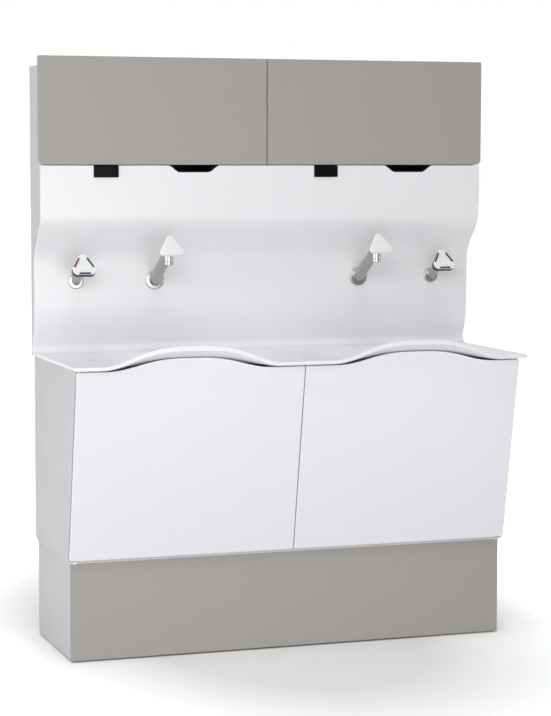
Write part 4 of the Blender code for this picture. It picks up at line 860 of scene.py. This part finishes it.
def panel_outline(sign):
    sizes = settings().doors
    inner, outer = PANEL_LOW.x, PANEL_HIGH.x
    small, large = sizes.panel_inner, sizes.panel_outer
    outline = arc((inner + small, small), small, 180, 270)
    outline += arc((outer - large, large), large, 270, 360)
    outline += arc((outer - small, panel_height(outer) - small), small, 0, 90)
    outline += [(x, panel_height(x)) for x in lines(outer - 2 * small, inner, ARCH_STEPS)]
    return [(sign * x, y) for x, y in outline]


class SINK_OT_front_panels(Operator):
    """Cuts the two leaning front panels with their arched top edge"""

    bl_idname = "scrub_sink.front_panels"
    bl_label = "Front panels"

    def execute(self, context):
        sizes = settings().doors
        plane = panel_plane()
        for side, sign in SIDES.items():
            model = slab(panel_outline(sign), -sizes.panel, 0.0, plane)
            body = f"{side}_front_panel"
            obj = add_piece(f"front_sheet_{side}", model, f"front_panel_{side}", body)
            round_edges(obj, sizes.panel_edge)
            carve(obj, *self.cutters(sign, plane))
            even_normals(sharpen(obj))
        return {"FINISHED"}

    def cutters(self, sign, plane):
        """A rebate behind the top edge, a relief behind the outer edge and the pivots' bores."""
        sizes = settings().doors
        outer = PANEL_HIGH.x
        pivot = outer - sizes.pivot_inset
        line = lines(PANEL_LOW.x + CUT_END, pivot - CUT_END, ARCH_STEPS)
        rebate = [(x, panel_height(x) - CUT_REACH) for x in line]
        rebate += [(x, panel_height(x) + CUT_REACH) for x in reversed(line)]
        low, high = CUT_END, panel_height(outer) - CUT_END
        inside, outside = outer - CUT_REACH, outer + CUT_REACH
        relief = [(inside, low), (outside, low), (outside, high), (inside, high)]
        cutters = []
        for outline, front in ((rebate, -sizes.land), (relief, -sizes.panel / 2)):
            points = [(sign * x, y) for x, y in outline]
            cutters.append(slab(points, -2 * sizes.panel, front, plane))
        for middle in (0.0, panel_height(pivot)):
            place = plane @ Matrix.Translation((sign * pivot, middle, -sizes.panel / 2))
            place = place @ Matrix.Rotation(-QUARTER_TURN, 4, "X")
            cutters.append(rod(sizes.pivot_bore, BORE_DEPTH, place, steps=24))
        return cutters


# Spouts and controls

FLANGE_ROUND = 0.004
TUBE_ROUND = 0.0015
OUTLET_ROUND = 0.0006
SPOUT_STRAIGHT = 0.012
SPOUT_SEAT = 0.030
CONTROL_SEAT = 0.022
POCKET_FLOOR = 0.0005
KEY_TURNS = {"hot": 150, "start": 30, "cold": 270}


def tap_point(x, along, aside=0.0):
    """A point along a tap's tilted axis from the splash panel, moved up its head's plane."""
    sizes = settings().taps
    direction = Vector((0, -math.cos(sizes.tilt), math.sin(sizes.tilt)))
    upward = Vector((0, math.sin(sizes.tilt), math.cos(sizes.tilt)))
    wall = settings().splash.foot + settings().splash.drift
    return at(x, wall, sizes.height) + direction * along + upward * aside


def tap_frame(x, along, aside=0.0):
    turn = Matrix.Rotation(QUARTER_TURN - settings().taps.tilt, 4, "X")
    return Matrix.Translation(tap_point(x, along, aside)) @ turn


def rounded_triangle(side, radius):
    """An equilateral triangle with one corner up and its middle at the origin."""
    reach = side / math.sqrt(3) - 2 * radius
    points = []
    for corner in (90, 210, 330):
        points += arc(polar(reach, math.radians(corner)), radius, corner - 60, corner + 60)
    return points


def add_plate(name, node, outline, heights, place, slot=None):
    """A plate with soft edges that stands for a tap's head or for a layer of it."""
    obj = add_piece(name, slab(outline, *heights, place), node, slot=slot)
    return round_edges(obj, settings().taps.head_edge, segments=4)


def flange(radius, x, model=None):
    """A round flange on the splash panel."""
    thickness = settings().taps.flange_thickness
    middle = (radius - FLANGE_ROUND, thickness - FLANGE_ROUND)
    profile = [(0, thickness), (middle[0], thickness), *arc(middle, FLANGE_ROUND, 90, 0)[1:]]
    profile += [(radius, CLEARANCE), (0, CLEARANCE)]
    place = Matrix.Translation(tap_point(x, 0)) @ Matrix.Rotation(QUARTER_TURN, 4, "X")
    return turned(profile, place, model=model)


def stem(reach, end, root, straight, seat, x):
    """A tapered tube, straight near its root and seated behind the splash panel's face."""
    profile = [(0, reach), (end, reach), (root, straight), (root, -seat), (0, -seat)]
    return turned(softened(profile, TUBE_ROUND), tap_frame(x, 0))


class SINK_OT_spouts(Operator):
    """Turns the two wall spouts with flange, tube, head and outlet"""

    bl_idname = "scrub_sink.spouts"
    bl_label = "Spouts"

    def execute(self, context):
        sizes = settings().taps
        ends = (sizes.spout_reach, sizes.spout_end, sizes.spout_root, SPOUT_STRAIGHT, SPOUT_SEAT)
        outline = rounded_triangle(sizes.spout_head, sizes.spout_corner)
        heights = (0.0, sizes.spout_thickness)
        for side, sign in SIDES.items():
            x = sign * settings().basin.pitch / 2
            ring = flange(sizes.spout_flange, x)
            sharpen(add_piece(f"spout_ring_{side}", ring, f"spout_flange_{side}"))
            sharpen(add_piece(f"spout_pipe_{side}", stem(*ends, x), f"spout_tube_{side}"))
            place = tap_frame(x, sizes.spout_reach + CLEARANCE, -sizes.spout_drop)
            add_plate(f"spout_cap_{side}", f"spout_head_{side}", outline, heights, place)
            self.add_outlet(side, x)
        return {"FINISHED"}

    def add_outlet(self, side, x):
        """A turned outlet with a groove and a recessed screen that points down."""
        sizes = settings().taps
        front = sizes.outlet * math.cos(sizes.tilt) - sizes.outlet_seat * math.sin(sizes.tilt)
        middle = tap_point(x, sizes.spout_reach - sizes.outlet_setback - front - CLEARANCE)
        place = Matrix.Translation(middle - Vector((0, 0, sizes.outlet_seat)))
        radius, low = sizes.outlet, -sizes.outlet_length
        groove_top, groove_low, groove_slope = -0.024, -0.026, 0.0005
        groove, rim, lip = radius - 0.0008, radius - 0.0025, radius - 0.0035
        rim_top, screen = low + 0.002, low + 0.003
        profile = [(0, 0), (radius, 0), (radius, groove_top), (groove, groove_top - groove_slope)]
        profile += [(groove, groove_low + groove_slope), (radius, groove_low), (radius, rim_top)]
        profile += [(rim, low), (lip, low), (lip, screen), (0, screen)]
        model = turned(softened(profile, OUTLET_ROUND), place)
        sharpen(add_piece(f"spout_outlet_{side}", model, f"spout_aerator_{side}"))


def bar_outline(size, width):
    """A bar with round ends along its own X."""
    end = (size - width) / 2
    return arc((end, 0), width / 2, -90, 90) + arc((-end, 0), width / 2, 90, 270)


def key_frames(sign):
    """The frame of each key on its control's front face."""
    sizes = settings().taps
    along = sizes.control_reach + CLEARANCE + sizes.control_thickness
    face = tap_frame(sign * sizes.control_aside, along, -sizes.control_drop)
    reach = sizes.control_head / math.sqrt(12) - sizes.key_from_edge
    frames = {}
    for key, degrees in KEY_TURNS.items():
        turn = math.radians(degrees)
        move = Matrix.Translation((*polar(reach, turn), 0))
        frames[key] = face @ move @ Matrix.Rotation(turn - QUARTER_TURN, 4, "Z")
    return frames


class SINK_OT_controls(Operator):
    """Turns the control stems and cuts their heads with the bar keys"""

    bl_idname = "scrub_sink.controls"
    bl_label = "Controls"

    def execute(self, context):
        sizes = settings().taps
        ends = (sizes.control_reach, sizes.control_end, sizes.control_root, 0, CONTROL_SEAT)
        outline = rounded_triangle(sizes.control_head, sizes.control_corner)
        split = sizes.control_thickness - sizes.control_face
        layers = (
            ("cap", None, (split, sizes.control_thickness)),
            ("body", "key_dark", (0.0, split)),
        )
        for side, sign in SIDES.items():
            x = sign * sizes.control_aside
            model = flange(sizes.control_flange, x, stem(*ends, x))
            sharpen(add_piece(f"control_pipe_{side}", model, f"control_stem_{side}"))
            place = tap_frame(x, sizes.control_reach + CLEARANCE, -sizes.control_drop)
            for layer, slot, heights in layers:
                names = (f"control_{layer}_{side}", f"control_head_{side}")
                head = add_plate(*names, outline, heights, place, slot)
                sharpen(carve(head, *self.pockets(sign)))
            for key, place in key_frames(sign).items():
                self.add_key(key, side, place)
        return {"FINISHED"}

    def pockets(self, sign):
        """The cutters of the keys' pockets."""
        sizes = settings().taps
        depth = sizes.key_height - sizes.key_proud + sizes.key_travel + POCKET_FLOOR
        play = 2 * sizes.key_play
        outline = bar_outline(sizes.key_length + play, sizes.key_width + play)
        return [slab(outline, -depth, depth, place) for place in key_frames(sign).values()]

    def add_key(self, key, side, place):
        sizes = settings().taps
        outline = bar_outline(sizes.key_length, sizes.key_width)
        model = slab(outline, sizes.key_proud - sizes.key_height, sizes.key_proud, place)
        bar = add_piece(f"{key}_bar_{side}", model, f"{key}_key_{side}", f"{side}_{key}_key")
        round_edges(bar, settings().edges.key)


# Dispensers


class SINK_OT_dispensers(Operator):
    """Shapes the soap outlets and bottles and dresses the brush chutes"""

    bl_idname = "scrub_sink.dispensers"
    bl_label = "Dispensers"

    def execute(self, context):
        for side in SIDES:
            self.add_soap(side)
            self.add_bottle(side)
            dress(f"brush_dispenser_{side}", settings().edges.chute)
        return {"FINISHED"}

    def add_soap(self, side):
        """Pump body on the shelf, and a rounded outlet in the notch with a nozzle under it."""
        sizes = settings().splash
        side_play, gap, overlap = 0.001, 0.0005, 0.006
        nozzle, nozzle_reach, nozzle_setback = 0.002, 0.01, 0.0075
        node = f"soap_dispenser_{side}"
        low, high, middle = node_box(node)
        x = middle.x
        body_front = from_wall(DOOR_LOW.y) - settings().doors.tray - 2 * CLEARANCE
        model = block((low.x, high.x), (from_wall(high.y), body_front), (low.z, high.z))
        half = sizes.soap_width / 2 - side_play
        top, front = SPLASH_HIGH.z, from_wall(low.y)
        bottom = top - sizes.soap_depth + gap
        block((x - half, x + half), (body_front - overlap, front), (bottom, top - gap), model)
        obj = add_piece(f"soap_outlet_{side}", model, node)
        round_edges(obj, settings().edges.outlet, segments=4)
        place = Matrix.Translation(at(x, front - nozzle_setback, bottom))
        carve(obj, rod(nozzle, nozzle_reach, place, steps=20))
        even_normals(sharpen(obj))

    def add_bottle(self, side):
        shoulder, neck, cone, corner = 0.008, 0.016, 0.056, 0.006
        node = f"soap_bottle_{side}"
        low, high, middle = node_box(node)
        radius, height = (high.x - low.x) / 2, high.z - low.z
        profile = [(0, height), (radius - shoulder, height), (radius, height - shoulder)]
        profile += [(radius, cone), (neck, neck), (neck, 0), (0, 0)]
        place = Matrix.Translation((middle.x, middle.y, low.z))
        model = turned(softened(profile, corner), place)
        sharpen(add_piece(f"soap_flask_{side}", model, node))


# Cabinet, housing and fittings


class SINK_OT_cabinet(Operator):
    """Dresses the boards of the plinth and cabinet"""

    bl_idname = "scrub_sink.cabinet"
    bl_label = "Cabinet"

    def execute(self, context):
        singles = ("plinth_front", "cabinet_floor", "cabinet_back", "cabinet_post")
        dress_all(settings().edges.board, singles, ("plinth_side", "cabinet_side"))
        return {"FINISHED"}


class SINK_OT_housing(Operator):
    """Dresses the boards of the upper housing"""

    bl_idname = "scrub_sink.housing"
    bl_label = "Housing"

    def execute(self, context):
        singles = ("housing_back", "housing_top", "dispenser_shelf", "control_box")
        dress_all(settings().edges.board, singles, ("housing_side",))
        return {"FINISHED"}


class SINK_OT_drains(Operator):
    """Turns the drain grids and bends the traps"""

    bl_idname = "scrub_sink.drains"
    bl_label = "Drains"

    def execute(self, context):
        for side in SIDES:
            self.add_grid(side)
            self.add_trap(side)
        return {"FINISHED"}

    def add_grid(self, side):
        """A flat grid on a spigot, with a ring of round holes."""
        chamfer, plate, outer, inner, corner = 0.0015, 0.003, 0.0215, 0.0185, 0.0008
        holes, hole, hole_ring = 6, 0.0038, 0.0115
        node = f"drain_grid_{side}"
        low, high, middle = node_box(node)
        place = Matrix.Translation((middle.x, middle.y, high.z))
        radius, bottom = (high.x - low.x) / 2, low.z - high.z
        profile = [(0, 0), (radius - chamfer, 0), (radius, -plate), (outer, -plate)]
        profile += [(outer, bottom), (inner, bottom), (inner, -plate), (0, -plate)]
        model = turned(softened(profile, corner), place)
        obj = add_piece(f"drain_screen_{side}", model, node)
        moves = [Matrix.Translation((a, b, 0)) for a, b in circle(hole_ring, holes)]
        sharpen(carve(obj, *(rod(hole, OVERCUT, place @ move, steps=28) for move in moves)))

    def add_trap(self, side):
        """Down from the drain, round the water seal, up and back to the wall."""
        bend, radius, rise = 0.048, 0.020, 0.007
        node = f"drain_trap_{side}"
        low, high, middle = node_box(node)
        wall = settings().basin.bowl_from_wall
        turn = low.z + radius + bend
        outlet = turn + bend + rise
        path = [(wall, high.z)]
        path += arc((wall - bend, turn), bend, 0, -180, steps=28)
        path += arc((wall - 3 * bend, outlet - bend), bend, 0, 90, steps=14)
        path.append((0.0, outlet))
        model = pipe([at(middle.x, d, z) for d, z in path], radius)
        sharpen(add_piece(f"drain_pipe_{side}", model, node))


class SINK_OT_fittings(Operator):
    """Dresses legs, hinges, pivots and mixing valves"""

    bl_idname = "scrub_sink.fittings"
    bl_label = "Fittings"

    def execute(self, context):
        kinds = ("leg_front", "leg_rear", "door_hinge", "mixing_valve")
        kinds += ("panel_pivot_lower", "panel_pivot_upper")
        dress_all(settings().edges.fitting, (), kinds)
        return {"FINISHED"}


# Stage

AIM = Vector((0.0, -0.1, 1.0))
FLOOR_HALF = 60.0
FLOOR_DROP = 0.002
FLOOR_MOTTLE = 2.0
FLOOR_SHARE = 0.01
LIFT_SQUEEZE = (1.0, 0.6, 1.0)
# Inside the start of this span the floor gets no glow, which paints shade round the sink; the glow is full
# at its end.
PAINTED_SHADE_TO_LIFT_SPAN = (0.45, 1.6)
# Reach of the painted contact shadow: ambient occlusion dims the floor's glow this close to the sink.
PAINTED_CONTACT_SHADE_REACH = 0.10
FILL_COLOUR = (0.97, 0.985, 1.0, 1.0)
WHITE = (1.0, 1.0, 1.0, 1.0)
CARD_HALF = 1.1
CARD_PLACE = (1.75, -3.4, 1.2)
CAMERA_PLACE = (-2.465, -7.1605, 1.665)
CAMERA_TURN = (18.941, 5.242, 0.096)
SENSOR_WIDTH = 36.0
CLIP_END = 500.0


def looked_at(tree):
    """1 where the camera, a reflection or a clear piece meets the surroundings, else 0."""
    path = tree.nodes.new("ShaderNodeLightPath")
    either = path.outputs["Is Camera Ray"]
    for kind in ("Is Glossy Ray", "Is Transmission Ray"):
        either = add_node(tree, "Math", {0: either, 1: path.outputs[kind]}, operation="MAXIMUM")
    return either


def stage_plane(name, half):
    """A square plane of the stage and the node tree of its material, which has no shader yet."""
    material = bpy.data.materials.new(name)
    material.use_nodes = True
    nodes = material.node_tree.nodes
    nodes.remove(nodes["Principled BSDF"])
    model = bmesh.new()
    bmesh.ops.create_grid(model, x_segments=1, y_segments=1, size=half)
    obj = add_object(name, model)
    obj.data.materials.append(material)
    return obj, material.node_tree


def face_sink(obj, place):
    """Puts a lamp or card in its place and turns it to the sink."""
    obj.location = place
    obj.rotation_euler = (AIM - obj.location).to_track_quat("-Z", "Y").to_euler()


class SINK_OT_stage(Operator):
    """Sets floor, light and camera"""

    bl_idname = "scrub_sink.stage"
    bl_label = "Stage"

    def execute(self, context):
        self.add_floor()
        self.set_world(context)
        self.add_lamps(context)
        self.add_card()
        self.add_camera(context)
        context.scene.view_settings.view_transform = "Standard"
        return {"FINISHED"}

    def add_floor(self):
        floor, tree = stage_plane("studio_floor", FLOOR_HALF)
        floor.location.z = CAD_LOW.z - FLOOR_DROP
        place = add_node(tree, "TexCoord", {}, "Object")
        mottle = noise(tree, place, FLOOR_MOTTLE, detail=3.0)
        tone = tones(tree, mottle, settings().stage.floor, FLOOR_SHARE)
        diffuse = add_node(tree, "BsdfDiffuse", {"Color": tone})
        # This glow also carries the painted shade round and under the sink.
        lift = add_node(tree, "Emission", {"Strength": self.floor_lift(tree, place)})
        both = add_node(tree, "AddShader", {0: diffuse, 1: lift})
        mix = add_node(tree, "MixShader", {0: looked_at(tree), 1: diffuse, 2: both})
        set_inputs(tree.nodes["Material Output"], {"Surface": mix})

    def floor_lift(self, tree, place):
        """The floor's camera-only glow whitens it away from the sink. Near the sink the glow is left out
        and dimmed by ambient occlusion, which paints shade round and under the sink.
        """
        squeezed = add_node(tree, "VectorMath", {0: place, 1: LIFT_SQUEEZE}, operation="MULTIPLY")
        away = add_node(tree, "VectorMath", {0: squeezed}, "Value", operation="LENGTH")
        # Painted shade: no glow near the sink, full glow far away.
        lift = ranged(tree, away, 0.0, settings().stage.lift, PAINTED_SHADE_TO_LIFT_SPAN)
        # Painted contact shadow: ambient occlusion dims the glow where the sink is close.
        painted_contact_shade = add_node(tree, "AmbientOcclusion", {"Distance": PAINTED_CONTACT_SHADE_REACH}, "AO")
        return add_node(tree, "Math", {0: lift, 1: painted_contact_shade}, operation="MULTIPLY")

    def set_world(self, context):
        """An even fill that looks white wherever the camera or a reflection meets it."""
        world = bpy.data.worlds.new("studio")
        world.use_nodes = True
        tree = world.node_tree
        fill = tree.nodes["Background"]
        set_inputs(fill, {"Color": FILL_COLOUR, "Strength": settings().stage.fill})
        white = add_node(tree, "Background", {"Color": WHITE})
        mix = add_node(tree, "MixShader", {0: looked_at(tree), 1: fill.outputs[0], 2: white})
        set_inputs(tree.nodes["World Output"], {"Surface": mix})
        context.scene.world = world

    def add_lamps(self, context):
        """Each lamp has a name, a kind, a strength, a size or for the sun an angle, and a place."""
        stage = settings().stage
        lamps = (
            ("low_lamp", "AREA", stage.low, 2.0, (-0.4, -3.6, 0.75)),
            ("high_lamp", "AREA", stage.high, 2.6, (-2.4, -5.0, 3.0)),
            ("side_lamp", "AREA", stage.side, 1.8, (-4.0, -0.9, 1.7)),
            ("top_light", "SUN", stage.top, math.radians(28), (-0.6, -2.4, 7.0)),
        )
        for name, kind, strength, size, place in lamps:
            lamp = bpy.data.lights.new(name, kind)
            lamp.energy = strength
            setattr(lamp, "size" if kind == "AREA" else "angle", size)
            obj = bpy.data.objects.new(name, lamp)
            context.scene.collection.objects.link(obj)
            face_sink(obj, place)

    def add_card(self):
        """A grey card in front at the right, seen only as a dark streak in the shine of metal."""
        card, tree = stage_plane("grey_card", CARD_HALF)
        glow = add_node(tree, "Emission", {"Strength": settings().stage.card})
        set_inputs(tree.nodes["Material Output"], {"Surface": glow})
        face_sink(card, CARD_PLACE)
        for ray in ("camera", "diffuse", "transmission", "shadow"):
            setattr(card, f"visible_{ray}", False)

    def add_camera(self, context):
        """The photo's camera: in front to the left, at eye height, turned right and down."""
        camera = bpy.data.cameras.new("camera")
        camera.lens = settings().stage.lens
        camera.sensor_width = SENSOR_WIDTH
        camera.clip_end = CLIP_END
        obj = bpy.data.objects.new("camera", camera)
        context.scene.collection.objects.link(obj)
        yaw, pitch, roll = (math.radians(a) for a in CAMERA_TURN)
        turn = Matrix.Rotation(-yaw, 4, "Z") @ Matrix.Rotation(QUARTER_TURN - pitch, 4, "X")
        turn = turn @ Matrix.Rotation(roll, 4, "Z")
        obj.matrix_world = Matrix.Translation(CAMERA_PLACE) @ turn
        context.scene.camera = obj


OPERATORS = (
    SINK_OT_stage,
    SINK_OT_basin,
    SINK_OT_splash_panel,
    SINK_OT_doors,
    SINK_OT_front_panels,
    SINK_OT_spouts,
    SINK_OT_controls,
    SINK_OT_dispensers,
    SINK_OT_cabinet,
    SINK_OT_housing,
    SINK_OT_drains,
    SINK_OT_fittings,
)
GROUPS = (BasinSizes, SplashSizes, DoorSizes, TapSizes, EdgeSizes, FinishColours, StageSettings)


class SINK_PT_looks(Panel):
    """Settings and operators of the scrub sink"""

    bl_idname = "SINK_PT_looks"
    bl_label = "Scrub sink"
    bl_space_type = "VIEW_3D"
    bl_region_type = "UI"
    bl_category = "Scrub sink"

    def draw(self, context):
        layout = self.layout
        for operator in OPERATORS:
            layout.operator(operator.bl_idname)
        for name in SinkSettings.__annotations__:
            group = getattr(context.scene.scrub_sink, name)
            box = layout.box()
            box.label(text=name.capitalize())
            for prop in group.__annotations__:
                box.prop(group, prop)


CLASSES = (*GROUPS, SinkSettings, *OPERATORS, SINK_PT_looks)


def register():
    for cls in CLASSES:
        bpy.utils.register_class(cls)
    bpy.types.Scene.scrub_sink = PointerProperty(type=SinkSettings)


def unregister():
    del bpy.types.Scene.scrub_sink
    for cls in reversed(CLASSES):
        bpy.utils.unregister_class(cls)


def main():
    register()
    for operator in OPERATORS:
        group, name = operator.bl_idname.split(".")
        getattr(getattr(bpy.ops, group), name)()


if __name__ == "__main__":
    main()
